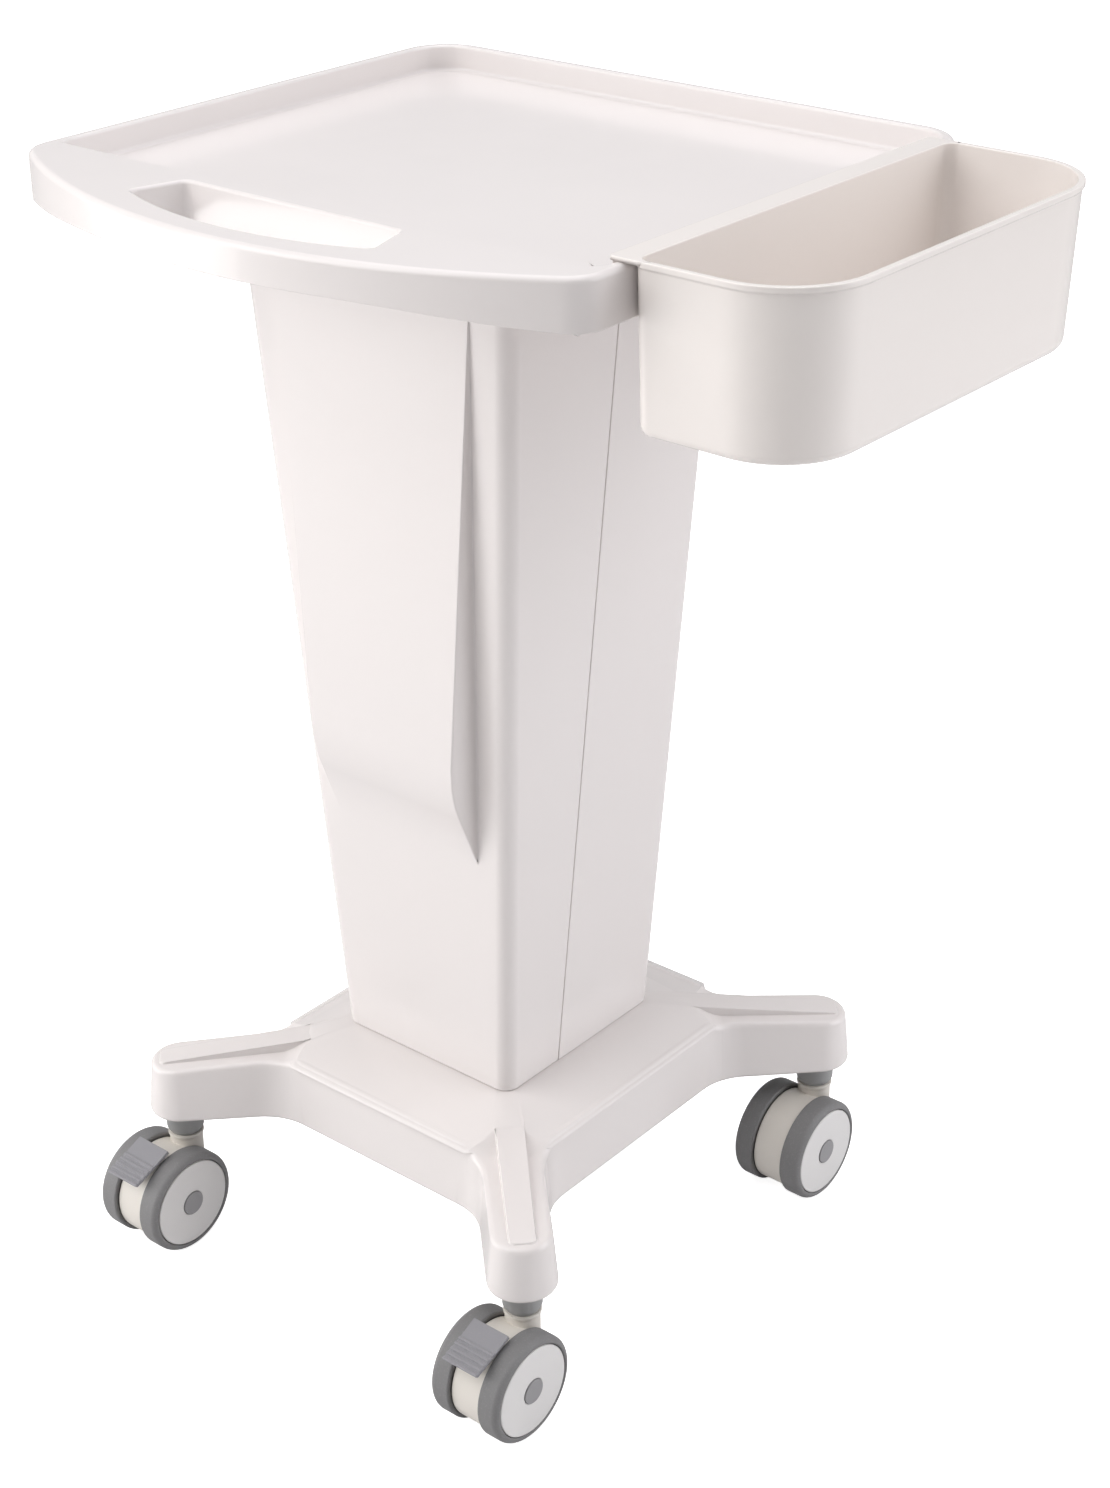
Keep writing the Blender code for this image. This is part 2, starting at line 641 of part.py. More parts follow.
def make_mast(shop, root):
    """The steel mast that carries the tray: a foot plate, a square tube and a bracket plate."""
    plate_low = frame_top() + FRAME_PLATE_THICKNESS + GAP
    plate_high = plate_low + FOOT_PLATE_THICKNESS
    bracket_high = column_top()
    bracket_low = bracket_high - BRACKET_THICKNESS
    shop.part("mast_bracket_plate", prism(square(BRACKET_SIDE, PLATE_CORNER), bracket_low, bracket_high),
              "painted_steel", root)
    tube = shop.part("mast_tube", prism(square(MAST_SIDE, MAST_CORNER), plate_high + GAP,
                                        bracket_low - GAP), "painted_steel", root)
    bore = shop.cutter("mast_bore", prism(square(MAST_SIDE - 2.0 * MAST_WALL, MAST_CORNER - MAST_WALL),
                                          plate_high - CUT_PAST, bracket_low + CUT_PAST), root)
    combine(tube, bore, "DIFFERENCE")
    foot = shop.part("mast_foot_plate", prism(square(FOOT_PLATE_SIDE, PLATE_CORNER), plate_low, plate_high),
                     "painted_steel", root)
    for index, (x, y) in enumerate(bolt_places(), 1):
        hole = shop.cutter(f"foot_hole_{index}", cylinder(
            BOLT_RADIUS + RUNNING, plate_low - CUT_PAST, plate_high + CUT_PAST, SCREW_STEPS,
            centre=(x, y, 0.0)), root)
        combine(foot, hole, "DIFFERENCE")
        seat = plate_high + GAP
        bolt = shop.part(f"mast_bolt_{index}", cylinder(BOLT_HEAD_RADIUS, seat, seat + BOLT_HEAD_HEIGHT, 6,
                                                        centre=(x, y, 0.0)), "zinc_steel", root)
        shank = shop.cutter(f"mast_bolt_shank_{index}", cylinder(
            BOLT_RADIUS, seat - BOLT_LENGTH, seat + BOLT_HEAD_HEIGHT / 2.0, SCREW_STEPS,
            centre=(x, y, 0.0)), root)
        combine(bolt, shank, "UNION")


# Base

def arm_direction(side_x, side_y):
    """The direction of an arm, at 45 degrees to the hub's sides."""
    return Vector((side_x, side_y)).normalized()


def base_outline(inset):
    """The base's plan: a rectangular hub with four diagonal arms and filleted roots."""
    half_x, half_y = HUB_HALF_X - inset, HUB_HALF_Y - inset
    half_width = ARM_HALF_WIDTH - inset
    slant = half_width * math.sqrt(2.0)
    rise = CASTER_Y - CASTER_X
    root_x = (half_x, half_x + rise - slant)
    root_y = (half_y - rise - slant, half_y)
    along = arm_direction(1, 1)
    across = Vector((along.y, -along.x))
    middle = Vector((CASTER_X, CASTER_Y))
    quarter = [(*root_x, ARM_ROOT_FILLET)]
    for side in (1, -1):
        corner = middle + along * half_width + across * (side * half_width)
        quarter.append((corner.x, corner.y, 0.96 * half_width))
    quarter.append((*root_y, ARM_ROOT_FILLET))
    outline = list(quarter)
    outline += [(-x, y, r) for x, y, r in reversed(quarter)]
    outline += [(-x, -y, r) for x, y, r in quarter]
    outline += [(x, -y, r) for x, y, r in reversed(quarter)]
    return rounded(outline, 4)


def oriented(mesh, side_x, side_y):
    """Turn a solid that lies along +X so that it lies along an arm, past the caster's axis."""
    direction = arm_direction(side_x, side_y)
    angle = math.atan2(direction.y, direction.x)
    place = Matrix.Translation((side_x * CASTER_X, side_y * CASTER_Y, 0.0)) @ Matrix.Rotation(angle, 4, "Z")
    bmesh.ops.transform(mesh, matrix=place, verts=mesh.verts)
    return mesh


def make_base_cover(shop, root):
    """The base cover: hub, arms with a raised middle band, and a hollow underside."""
    cover = shop.part("base_cover", loft([
        (base_outline(0.0), BASE_BOTTOM),
        (base_outline(HUB_DRAFT), HUB_EDGE_HEIGHT - BASE_EDGE_RADIUS),
        (base_outline(HUB_DRAFT + 0.3 * BASE_EDGE_RADIUS), HUB_EDGE_HEIGHT - 0.3 * BASE_EDGE_RADIUS),
        (base_outline(HUB_DRAFT + BASE_EDGE_RADIUS), HUB_EDGE_HEIGHT),
    ]), "white_abs", root)
    shelf_x, shelf_y = HUB_HALF_X - HUB_DRAFT - HUB_SHELF, HUB_HALF_Y - HUB_DRAFT - HUB_SHELF
    shelf = rectangle(-shelf_x, shelf_x, -shelf_y, shelf_y, HUB_RISE_CORNER, HUB_RISE_CORNER)
    rise = shop.cutter("hub_rise", loft([
        (shelf, HUB_EDGE_HEIGHT - BASE_WALL), (shelf, HUB_EDGE_HEIGHT + GAP), (column_foot_outline(0.0), HUB_TOP),
    ]), root)
    combine(cover, rise, "UNION")
    arm_length = math.hypot(CASTER_X, CASTER_Y)
    start = SHOULDER_START - arm_length
    ramp_foot = start + SHOULDER_RAMP
    reach = 2.0 * ARM_HALF_WIDTH
    shoulder = [(start, HUB_TOP + CUT_PAST), (start, RAMP_TOP), (ramp_foot, SHOULDER_HEIGHT + SHOULDER_RISE),
                (ARM_HALF_WIDTH, SHOULDER_HEIGHT), (reach, SHOULDER_HEIGHT), (reach, HUB_TOP + CUT_PAST)]
    band_foot = SHOULDER_HEIGHT - BASE_WALL / 2.0
    band = [(start - BAND_OVERLAP, band_foot), (BAND_END, band_foot), (BAND_END, BAND_TIP_HEIGHT),
            (start - BAND_OVERLAP, BAND_ROOT_HEIGHT)]
    for name, (side_x, side_y, _) in CASTERS.items():
        cut = oriented(prism(shoulder, -reach, reach, "Y"), side_x, side_y)
        combine(cover, shop.cutter("shoulder_" + name, cut, root), "DIFFERENCE")
        ridge = oriented(prism(band, -BAND_HALF_WIDTH, BAND_HALF_WIDTH, "Y"), side_x, side_y)
        combine(cover, shop.cutter("band_" + name, ridge, root), "UNION")
    hollow = shop.cutter("cover_hollow", loft([
        (base_outline(BASE_WALL), BASE_BOTTOM - CUT_PAST),
        (base_outline(BASE_WALL), BASE_BOTTOM),
        (base_outline(BASE_WALL + HUB_DRAFT), SHOULDER_HEIGHT - BASE_WALL),
    ]), root)
    combine(cover, hollow, "DIFFERENCE")
    passage = shop.cutter("mast_passage", prism(square(MAST_PASSAGE, PLATE_CORNER),
                                                SHOULDER_HEIGHT - BASE_WALL - CUT_PAST, HUB_TOP + CUT_PAST), root)
    room_x, room_y = shelf_x - BASE_WALL, shelf_y - BASE_WALL
    room_plan = rectangle(-room_x, room_x, -room_y, room_y, HUB_ROOM_CORNER, HUB_ROOM_CORNER)
    room = shop.cutter("hub_room", loft([
        (room_plan, SHOULDER_HEIGHT - BASE_WALL - CUT_PAST), (room_plan, HUB_EDGE_HEIGHT - BASE_WALL),
        (column_foot_outline(BASE_WALL), HUB_TOP - BASE_WALL),
    ]), root)
    combine(cover, room, "DIFFERENCE")
    combine(cover, passage, "DIFFERENCE")


def make_base_frame(shop, root):
    """The welded steel frame inside the cover: two crossed bars, a plate and four stem sockets."""
    top = frame_top()
    bottom = top - FRAME_BAR_HEIGHT
    frame = shop.part("base_frame", prism(square(FRAME_PLATE_SIDE, PLATE_CORNER), top - FRAME_BAR_HEIGHT / 2.0,
                                          top + FRAME_PLATE_THICKNESS), "painted_steel", root)
    half_width, half_length = FRAME_BAR_WIDTH / 2.0, math.hypot(CASTER_X, CASTER_Y)
    for name, side in (("rising", 1), ("falling", -1)):
        bar = box((-half_length, -half_width, bottom), (half_length, half_width, top))
        turn = Matrix.Rotation(math.atan2(side * CASTER_Y, CASTER_X), 3, "Z")
        bmesh.ops.rotate(bar, cent=(0.0, 0.0, 0.0), matrix=turn, verts=bar.verts)
        combine(frame, shop.cutter("bar_" + name, bar, root), "UNION")
    for name, (side_x, side_y, _) in CASTERS.items():
        place = Vector((side_x * CASTER_X, side_y * CASTER_Y, 0.0))
        socket = cylinder(SOCKET_RADIUS, BASE_BOTTOM + 2.0 * GAP, top, HUB_STEPS, centre=place)
        combine(frame, shop.cutter("socket_" + name, socket, root), "UNION")
    for name, (side_x, side_y, _) in CASTERS.items():
        place = Vector((side_x * CASTER_X, side_y * CASTER_Y, 0.0))
        bore = cylinder(STEM_RADIUS + RUNNING, BASE_BOTTOM - CUT_PAST,
                        BASE_BOTTOM + 2.0 * GAP + STEM_SEAT + GAP, centre=place)
        combine(frame, shop.cutter("stem_bore_" + name, bore, root), "DIFFERENCE")
    for index, (x, y) in enumerate(bolt_places(), 1):
        hole = cylinder(BOLT_RADIUS + RUNNING, bottom - CUT_PAST, top + FRAME_PLATE_THICKNESS + CUT_PAST,
                        SCREW_STEPS, centre=(x, y, 0.0))
        combine(frame, shop.cutter(f"frame_hole_{index}", hole, root), "DIFFERENCE")


# Casters

def make_collar_and_stem(shop, name, mount):
    """The parts that stay with the base: the grey collar and the steel stem."""
    top = BASE_BOTTOM + GAP
    collar = shop.part(f"caster_{name}_collar", loft([
        (circle(COLLAR_RADIUS - COLLAR_TAPER), COLLAR_BOTTOM),
        (circle(COLLAR_RADIUS), COLLAR_BOTTOM + 2.0 * COLLAR_TAPER),
        (circle(COLLAR_RADIUS), top),
    ]), "tyre_grey", mount)
    bore = shop.cutter(f"collar_bore_{name}", cylinder(STEM_RADIUS + RUNNING, COLLAR_BOTTOM - CUT_PAST,
                                                       top + CUT_PAST), mount)
    combine(collar, bore, "DIFFERENCE")
    low = COLLAR_BOTTOM - STEM_BORE_DEPTH
    high = BASE_BOTTOM + 2.0 * GAP + STEM_SEAT
    shop.part(f"caster_{name}_stem", cylinder(STEM_RADIUS, low, high), "zinc_steel", mount)


def make_caster_body(shop, name, swivel, braked):
    """The moulded housing between the wheels, with its neck and, on a braked caster, the pedal's lug."""
    centre = (0.0, -TRAIL, WHEEL_RADIUS)
    top = COLLAR_BOTTOM - GAP
    body = shop.part(f"caster_{name}_body", cylinder(
        DRUM_RADIUS, -DRUM_HALF_WIDTH, DRUM_HALF_WIDTH, WHEEL_STEPS, "X", centre, DRUM_EDGE), "caster_white", swivel)
    slim, full = circle(DRUM_HALF_WIDTH), circle(NECK_RADIUS)
    neck = shop.cutter(f"neck_{name}", loft([(slim, WHEEL_RADIUS), (slim, NECK_SHOULDER - NECK_STEP),
                                             (full, NECK_SHOULDER), (full, top)]), swivel)
    combine(body, neck, "UNION")
    if braked:
        pivot = (0.0, -PEDAL_PIVOT_BACK, PEDAL_PIVOT_HEIGHT)
        lug = shop.cutter(f"pedal_lug_{name}", box(
            (-PEDAL_LUG_HALF_WIDTH, pivot[1] - PEDAL_LUG_RADIUS, WHEEL_RADIUS),
            (PEDAL_LUG_HALF_WIDTH, pivot[1] + PEDAL_LUG_RADIUS, PEDAL_PIVOT_HEIGHT)), swivel)
        crown = shop.cutter(f"pedal_crown_{name}", cylinder(
            PEDAL_LUG_RADIUS, -PEDAL_LUG_HALF_WIDTH, PEDAL_LUG_HALF_WIDTH, SHAFT_STEPS, "X", pivot), swivel)
        combine(lug, crown, "UNION")
        combine(body, lug, "UNION")
        hole = shop.cutter(f"lug_hole_{name}", cylinder(
            PEDAL_PIN_RADIUS + RUNNING, -DRUM_HALF_WIDTH, DRUM_HALF_WIDTH, SCREW_STEPS, "X", pivot), swivel)
        combine(body, hole, "DIFFERENCE")
    stem_bore = shop.cutter(f"body_bore_{name}", cylinder(STEM_RADIUS + RUNNING, top - STEM_BORE_DEPTH,
                                                          top + CUT_PAST), swivel)
    combine(body, stem_bore, "DIFFERENCE")
    reach = DRUM_HALF_WIDTH + CUT_PAST
    axle_bore = shop.cutter(f"axle_bore_{name}", cylinder(AXLE_RADIUS + GAP, -reach, reach, axis="X",
                                                          centre=centre), swivel)
    combine(body, axle_bore, "DIFFERENCE")
    half_axle = WHEEL_OUTER - HUB_CAP_SEAT - AXLE_END_GAP
    shop.part(f"caster_{name}_axle", cylinder(AXLE_RADIUS, -half_axle, half_axle, axis="X"),
              "zinc_steel", swivel, centre)


def make_wheel(shop, name, side_name, side, swivel):
    """One of a caster's twin wheels: a tyre, a white disc and a hub cap, all about the axle."""
    centre = (0.0, -TRAIL, WHEEL_RADIUS)
    spin = shop.empty(f"caster_{name}_{side_name}_spin", swivel, centre)

    def along(*profile):
        """Order a profile, given as (radius, distance from the caster's middle), for its side."""
        placed = [(radius, side * distance) for radius, distance in profile]
        return placed if side > 0 else list(reversed(placed))

    shoulder = [(WHEEL_RADIUS - TYRE_SHOULDER + TYRE_SHOULDER * math.sin(t),
                 WHEEL_OUTER - TYRE_SHOULDER + TYRE_SHOULDER * math.cos(t))
                for t in (math.radians(45.0 * step) for step in range(3))]
    tyre = along((DISC_RADIUS + GAP, WHEEL_OUTER - TYRE_LIP), *shoulder,
                 (WHEEL_RADIUS, WHEEL_INNER + TYRE_INNER_EDGE),
                 (WHEEL_RADIUS - TYRE_INNER_EDGE, WHEEL_INNER), (DISC_RADIUS + GAP, WHEEL_INNER))
    shop.turned(f"caster_{name}_tyre_{side_name}", tyre, "tyre_grey", spin)
    disc = along((HUB_CAP_RADIUS + GAP, WHEEL_OUTER), (DISC_RADIUS, WHEEL_OUTER), (DISC_RADIUS, WHEEL_INNER),
                 (AXLE_RADIUS + RUNNING, WHEEL_INNER), (AXLE_RADIUS + RUNNING, WHEEL_OUTER - HUB_CAP_SEAT),
                 (HUB_CAP_RADIUS + GAP, WHEEL_OUTER - HUB_CAP_SEAT))
    shop.turned(f"caster_{name}_disc_{side_name}", disc, "caster_white", spin)
    low = WHEEL_OUTER - HUB_CAP_SEAT + GAP
    high = low + HUB_CAP_THICKNESS
    span = sorted((side * low, side * high))
    shop.part(f"caster_{name}_cap_{side_name}", cylinder(HUB_CAP_RADIUS, *span, HUB_STEPS, "X"),
              "cap_grey", spin)


def make_pedal(shop, name, swivel):
    """The brake pedal with its grip ribs and two eyes, and the pin that it turns on."""
    pivot = Vector((0.0, -PEDAL_PIVOT_BACK, PEDAL_PIVOT_HEIGHT))
    hinge = shop.empty(f"caster_{name}_pedal_hinge", swivel, pivot)
    rear = Vector((-PEDAL_BACK, PEDAL_HEIGHT)) - pivot.yz
    forward = Vector((-math.cos(PEDAL_SLOPE), -math.sin(PEDAL_SLOPE)))
    upward = Vector((-math.sin(PEDAL_SLOPE), math.cos(PEDAL_SLOPE)))

    def at(distance, lift):
        """A point of the pedal's side view, measured along its top face and above it."""
        point = rear + forward * distance + upward * lift
        return (point.x, point.y)

    outline = [at(0.0, -PEDAL_THICKNESS), at(0.0, 0.0)]
    first = PEDAL_LENGTH - PEDAL_RIBS * PEDAL_RIB_PITCH
    for rib in range(PEDAL_RIBS):
        start = first + rib * PEDAL_RIB_PITCH
        outline += [at(start, -PEDAL_RIB_HEIGHT), at(start + 0.35 * PEDAL_RIB_PITCH, -PEDAL_RIB_HEIGHT),
                    at(start + 0.5 * PEDAL_RIB_PITCH, 0.0), at(start + 0.9 * PEDAL_RIB_PITCH, 0.0)]
    outline += [at(PEDAL_LENGTH, -PEDAL_RIB_HEIGHT), at(PEDAL_LENGTH - 0.5 * PEDAL_THICKNESS, -PEDAL_THICKNESS)]
    pedal = shop.part(f"caster_{name}_pedal", prism(outline, -PEDAL_HALF_WIDTH, PEDAL_HALF_WIDTH, "X"),
                      "pedal_grey", hinge)
    inner = PEDAL_LUG_HALF_WIDTH + RUNNING
    outer = inner + PEDAL_EYE_THICKNESS
    rise = rear.y - PEDAL_THICKNESS
    for side_name, side in (("left", -1), ("right", 1)):
        span = sorted((side * inner, side * outer))
        eye = shop.cutter(f"pedal_eye_{name}_{side_name}", cylinder(PEDAL_EYE_RADIUS, *span, axis="X"), hinge)
        web = shop.cutter(f"pedal_web_{name}_{side_name}", box(
            (span[0], -PEDAL_EYE_RADIUS, -0.4 * PEDAL_EYE_RADIUS), (span[1], PEDAL_EYE_RADIUS * 0.9, rise)), hinge)
        combine(pedal, web, "UNION")
        combine(pedal, eye, "UNION")
    hole = shop.cutter(f"pedal_hole_{name}", cylinder(
        PEDAL_PIN_RADIUS + RUNNING, -PEDAL_HALF_WIDTH, PEDAL_HALF_WIDTH, SCREW_STEPS, "X"), hinge)
    combine(pedal, hole, "DIFFERENCE")
    shop.part(f"caster_{name}_pedal_pin", cylinder(PEDAL_PIN_RADIUS, -outer, outer, SCREW_STEPS, "X"),
              "zinc_steel", swivel, pivot)


def make_casters(shop, root):
    """Four twin-wheel casters, trailing forwards, with brake pedals on the front two."""
    for name, (side_x, side_y, braked) in CASTERS.items():
        place = (side_x * CASTER_X, side_y * CASTER_Y, 0.0)
        mount = shop.empty(f"caster_{name}_mount", root, place)
        swivel = shop.empty(f"caster_{name}_swivel", root, place)
        make_collar_and_stem(shop, name, mount)
        make_caster_body(shop, name, swivel, braked)
        for side_name, side in (("left", -1), ("right", 1)):
            make_wheel(shop, name, side_name, side, swivel)
        if braked:
            make_pedal(shop, name, swivel)


def main():
    """Clear the scene and build the trolley."""
    for obj in list(bpy.data.objects):
        bpy.data.objects.remove(obj)
    shop = Workshop()
    centre_x = (bin_outer() - TRAY_HALF_WIDTH) / 2.0
    centre_y = (TRAY_BACK - TRAY_FRONT) / 2.0
    root = shop.empty("trolley", location=(-centre_x, -centre_y, 0.0))
    make_tray(shop, root)
    make_bin(shop, root)
    make_column(shop, root)
    make_mast(shop, root)
    make_base_cover(shop, root)
    make_base_frame(shop, root)
    make_casters(shop, root)


if __name__ == "__main__":
    main()
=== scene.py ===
"""Looks of a salon trolley: glossy moulded tray, side bin, column and base on twin-wheel casters.

Every visible moulding is rebuilt here with fine, softly rounded surfaces in the place of its CAD solid,
and the hidden steel keeps its CAD shape with a better finish. Units are metres. Sizes are measured from
the column's axis, with the hand grip at -Y and the bin at +X, and ORIGIN then moves each piece into the
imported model's frame.
"""

import json
import logging
import math
from collections.abc import Callable, Sequence
from dataclasses import dataclass, field
from enum import Enum

import bmesh
import bpy
from bmesh.types import BMEdge, BMesh, BMFace
from mathutils import Matrix, Quaternion, Vector

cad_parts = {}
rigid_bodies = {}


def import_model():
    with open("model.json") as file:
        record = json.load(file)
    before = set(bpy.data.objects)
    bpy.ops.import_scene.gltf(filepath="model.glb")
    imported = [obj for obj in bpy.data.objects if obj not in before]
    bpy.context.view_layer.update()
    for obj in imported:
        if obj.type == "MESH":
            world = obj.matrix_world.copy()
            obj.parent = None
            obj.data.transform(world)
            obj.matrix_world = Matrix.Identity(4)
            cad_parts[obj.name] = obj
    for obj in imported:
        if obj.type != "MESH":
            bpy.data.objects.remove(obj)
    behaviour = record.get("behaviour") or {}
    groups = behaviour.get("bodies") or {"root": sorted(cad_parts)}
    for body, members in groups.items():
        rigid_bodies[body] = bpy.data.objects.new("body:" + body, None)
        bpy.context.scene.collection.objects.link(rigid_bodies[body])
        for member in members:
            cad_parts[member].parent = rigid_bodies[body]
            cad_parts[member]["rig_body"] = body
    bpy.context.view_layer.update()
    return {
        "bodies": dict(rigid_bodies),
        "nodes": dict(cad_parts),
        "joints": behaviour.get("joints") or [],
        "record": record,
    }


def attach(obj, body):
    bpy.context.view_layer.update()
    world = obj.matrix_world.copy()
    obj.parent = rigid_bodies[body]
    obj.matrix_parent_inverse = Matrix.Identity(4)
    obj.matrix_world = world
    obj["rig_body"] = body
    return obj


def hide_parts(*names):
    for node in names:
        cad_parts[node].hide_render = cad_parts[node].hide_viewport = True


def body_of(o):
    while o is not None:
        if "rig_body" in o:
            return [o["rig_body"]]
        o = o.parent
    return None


Outline = list[tuple[float, float]]
Level = tuple[Outline, float]
Colour = tuple[float, float, float]

LOG = logging.getLogger("trolley")
ORIGIN = Vector((-0.05825, 0.0185, 0.0))    # column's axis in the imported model's frame
PAST = 0.004                                # how far a cutter reaches past the face that it opens
GAP = 0.0003                                # between faces that touch
MERGE = 1e-5                                # points nearer than this are one
POLE_MERGE = 1e-6                           # the same where a spin closes on its axis
FLAT = math.radians(0.05)                   # faces that meet at less than this become one
NORMAL_WEIGHT = 80                          # how strongly wide faces steer the shading at their edges
EDGE_STEPS = 3                              # facets across a rounded edge
RIM_STEPS = 4                               # and across a turned rod's rim


class Slot(Enum):
    """The record's material slots."""

    WHITE = "white_abs"
    CREAM = "cream_abs"
    CASTER = "caster_white"
    TYRE = "tyre_grey"
    COLLAR = "collar_grey"
    PEDAL = "pedal_grey"
    CAP = "cap_grey"
    PAINT = "painted_steel"
    ZINC = "zinc_steel"


class Operation(Enum):
    """What one solid does to another."""

    JOIN = "UNION"
    CUT = "DIFFERENCE"


class Axis(Enum):
    """The axis that a solid is swept or turned along."""

    X = "X"
    Y = "Y"
    Z = "Z"


class Side(Enum):
    """A wheel's side of its caster."""

    LEFT = -1
    RIGHT = 1


class Shell(Enum):
    """A column shell's side of the seam."""

    FRONT = -1
    REAR = 1


class Corner(Enum):
    """Each caster's side (+1 right, +1 back) and whether it has a brake."""

    FRONT_RIGHT = (1, -1, True)
    FRONT_LEFT = (-1, -1, True)
    BACK_RIGHT = (1, 1, False)
    BACK_LEFT = (-1, 1, False)

    @property
    def label(self) -> str:
        """The corner's name as the CAD nodes spell it."""
        return self.name.lower()

    @property
    def braked(self) -> bool:
        """Whether the caster here has a brake."""
        return self.value[2]


# Outlines

def arc(centre: Sequence[float], radius: float, start: float, end: float, steps: int) -> Outline:
    """Points along an arc, both ends included.

    Args:
        centre: the arc's middle.
        radius: its radius.
        start: first angle in degrees.
        end: last angle in degrees.
        steps: segments between them.

    Returns:
        The points in order.
    """
    turns = [math.radians(start + (end - start) * i / steps) for i in range(steps + 1)]
    return [(centre[0] + radius * math.cos(t), centre[1] + radius * math.sin(t)) for t in turns]


def rounded(corners: Sequence[tuple[float, float, float]], steps: int) -> Outline:
    """A closed outline whose corners are rounded.

    Args:
        corners: (x, y, radius) of each corner in order; radius 0 keeps it sharp.
        steps: segments round each corner.

    Returns:
        The outline's points.
    """
    points: Outline = []
    for index, (x, y, radius) in enumerate(corners):
        if radius == 0.0:
            points.append((x, y))
            continue
        here = Vector((x, y))
        back = (Vector(corners[index - 1][:2]) - here).normalized()
        ahead = (Vector(corners[(index + 1) % len(corners)][:2]) - here).normalized()
        half_angle = back.angle(ahead) / 2.0
        tangent = radius / math.tan(half_angle)
        centre = here + (back + ahead).normalized() * (radius / math.sin(half_angle))
        first = here + back * tangent - centre
        sweep = first.angle_signed(here + ahead * tangent - centre)
        for step in range(steps + 1):
            turned = first.copy()
            turned.rotate(Matrix.Rotation(-sweep * step / steps, 2))
            points.append((centre.x + turned.x, centre.y + turned.y))
    return points


def rectangle(low: Sequence[float], high: Sequence[float], front_radius: float, back_radius: float,
              steps: int = 12) -> Outline:
    """A rounded rectangle, seen from above.

    Args:
        low: its left and front sides.
        high: its right and back sides.
        front_radius: radius of the two front corners.
        back_radius: radius of the two back corners.
        steps: segments round each corner.

    Returns:
        The outline's points.
    """
    return rounded([(high[0], low[1], front_radius), (high[0], high[1], back_radius),
                    (low[0], high[1], back_radius), (low[0], low[1], front_radius)], steps)


def quarter(radius: float, steps: int = 5) -> list[tuple[float, float]]:
    """How far a quarter round has come in and risen at each of its steps, from upright to level."""
    turns = [math.pi / 2.0 * i / steps for i in range(steps + 1)]
    return [(radius * (1.0 - math.cos(t)), radius * math.sin(t)) for t in turns]


# Solids

def stack(levels: Sequence[Level]) -> BMesh:
    """The solid that is extruded from one outline up to the next.

    Args:
        levels: outlines of equal point counts with their heights, lowest first.

    Returns:
        The closed solid.
    """
    mesh = bmesh.new()
    points, height = levels[0]
    ring = [mesh.verts.new((x, y, height)) for x, y in points]
    top = mesh.faces.new(ring)
    for number, (points, height) in enumerate(levels[1:]):
        place = {vert.co.copy().freeze(): index for index, vert in enumerate(ring)}
        swept = bmesh.ops.extrude_face_region(mesh, geom=[top])["geom"]
        if number > 0:
            bmesh.ops.delete(mesh, geom=[top], context="FACES_ONLY")
        top = next(part for part in swept if isinstance(part, BMFace))
        ring = sorted(top.verts, key=lambda vert: place[vert.co.copy().freeze()])
        for vert, (x, y) in zip(ring, points):
            vert.co = (x, y, height)
    bmesh.ops.recalc_face_normals(mesh, faces=mesh.faces)
    return mesh


def prism(points: Outline, low: float, high: float, axis: Axis = Axis.Z) -> BMesh:
    """The solid swept by a flat outline.

    Args:
        points: the outline, as (x, y), or (y, z) for axis X and (x, z) for axis Y.
        low: where it starts along the axis.
        high: where it ends.
        axis: the axis that it is swept along.

    Returns:
        The closed solid.
    """
    mesh = stack([(points, low), (points, high)])
    turn = {Axis.X: Matrix(((0, 0, 1), (1, 0, 0), (0, 1, 0))),
            Axis.Y: Matrix(((1, 0, 0), (0, 0, 1), (0, 1, 0))),
            Axis.Z: Matrix.Identity(3)}[axis]
    bmesh.ops.transform(mesh, matrix=turn.to_4x4(), verts=mesh.verts)
    bmesh.ops.recalc_face_normals(mesh, faces=mesh.faces)
    return mesh


def box(low: Sequence[float], high: Sequence[float]) -> BMesh:
    """A block between two corners, for a cut or a web."""
    mesh = bmesh.new()
    bmesh.ops.create_cube(mesh, size=1.0)
    low, high = Vector(low), Vector(high)
    bmesh.ops.scale(mesh, vec=high - low, verts=mesh.verts)
    bmesh.ops.translate(mesh, vec=(high + low) / 2.0, verts=mesh.verts)
    return mesh


def turned(profile: Outline, steps: int, axis: Axis, centre: Sequence[float], closed: bool = True) -> BMesh:
    """The solid spun about an axis from a profile.

    Args:
        profile: (radius, distance along the axis) points.
        steps: facets round the axis.
        axis: X or Z.
        centre: a point of the axis, where the distance along it is zero.
        closed: whether the profile closes on itself; an open one starts and ends on the axis.

    Returns:
        The closed solid.
    """
    mesh = bmesh.new()
    verts = [mesh.verts.new((radius, 0.0, along)) for radius, along in profile]
    ends = zip(verts, verts[1:] + verts[:1]) if closed else zip(verts, verts[1:])
    for start, end in ends:
        mesh.edges.new((start, end))
    bmesh.ops.spin(mesh, geom=mesh.verts[:] + mesh.edges[:], cent=(0, 0, 0), axis=(0, 0, 1), dvec=(0, 0, 0),
                   angle=2.0 * math.pi, steps=steps, use_merge=True)
    bmesh.ops.remove_doubles(mesh, verts=mesh.verts, dist=POLE_MERGE)
    if axis == Axis.X:
        bmesh.ops.rotate(mesh, cent=(0, 0, 0), matrix=Matrix.Rotation(math.pi / 2.0, 3, "Y"),
                         verts=mesh.verts)
    bmesh.ops.translate(mesh, vec=centre, verts=mesh.verts)
    bmesh.ops.recalc_face_normals(mesh, faces=mesh.faces)
    return mesh


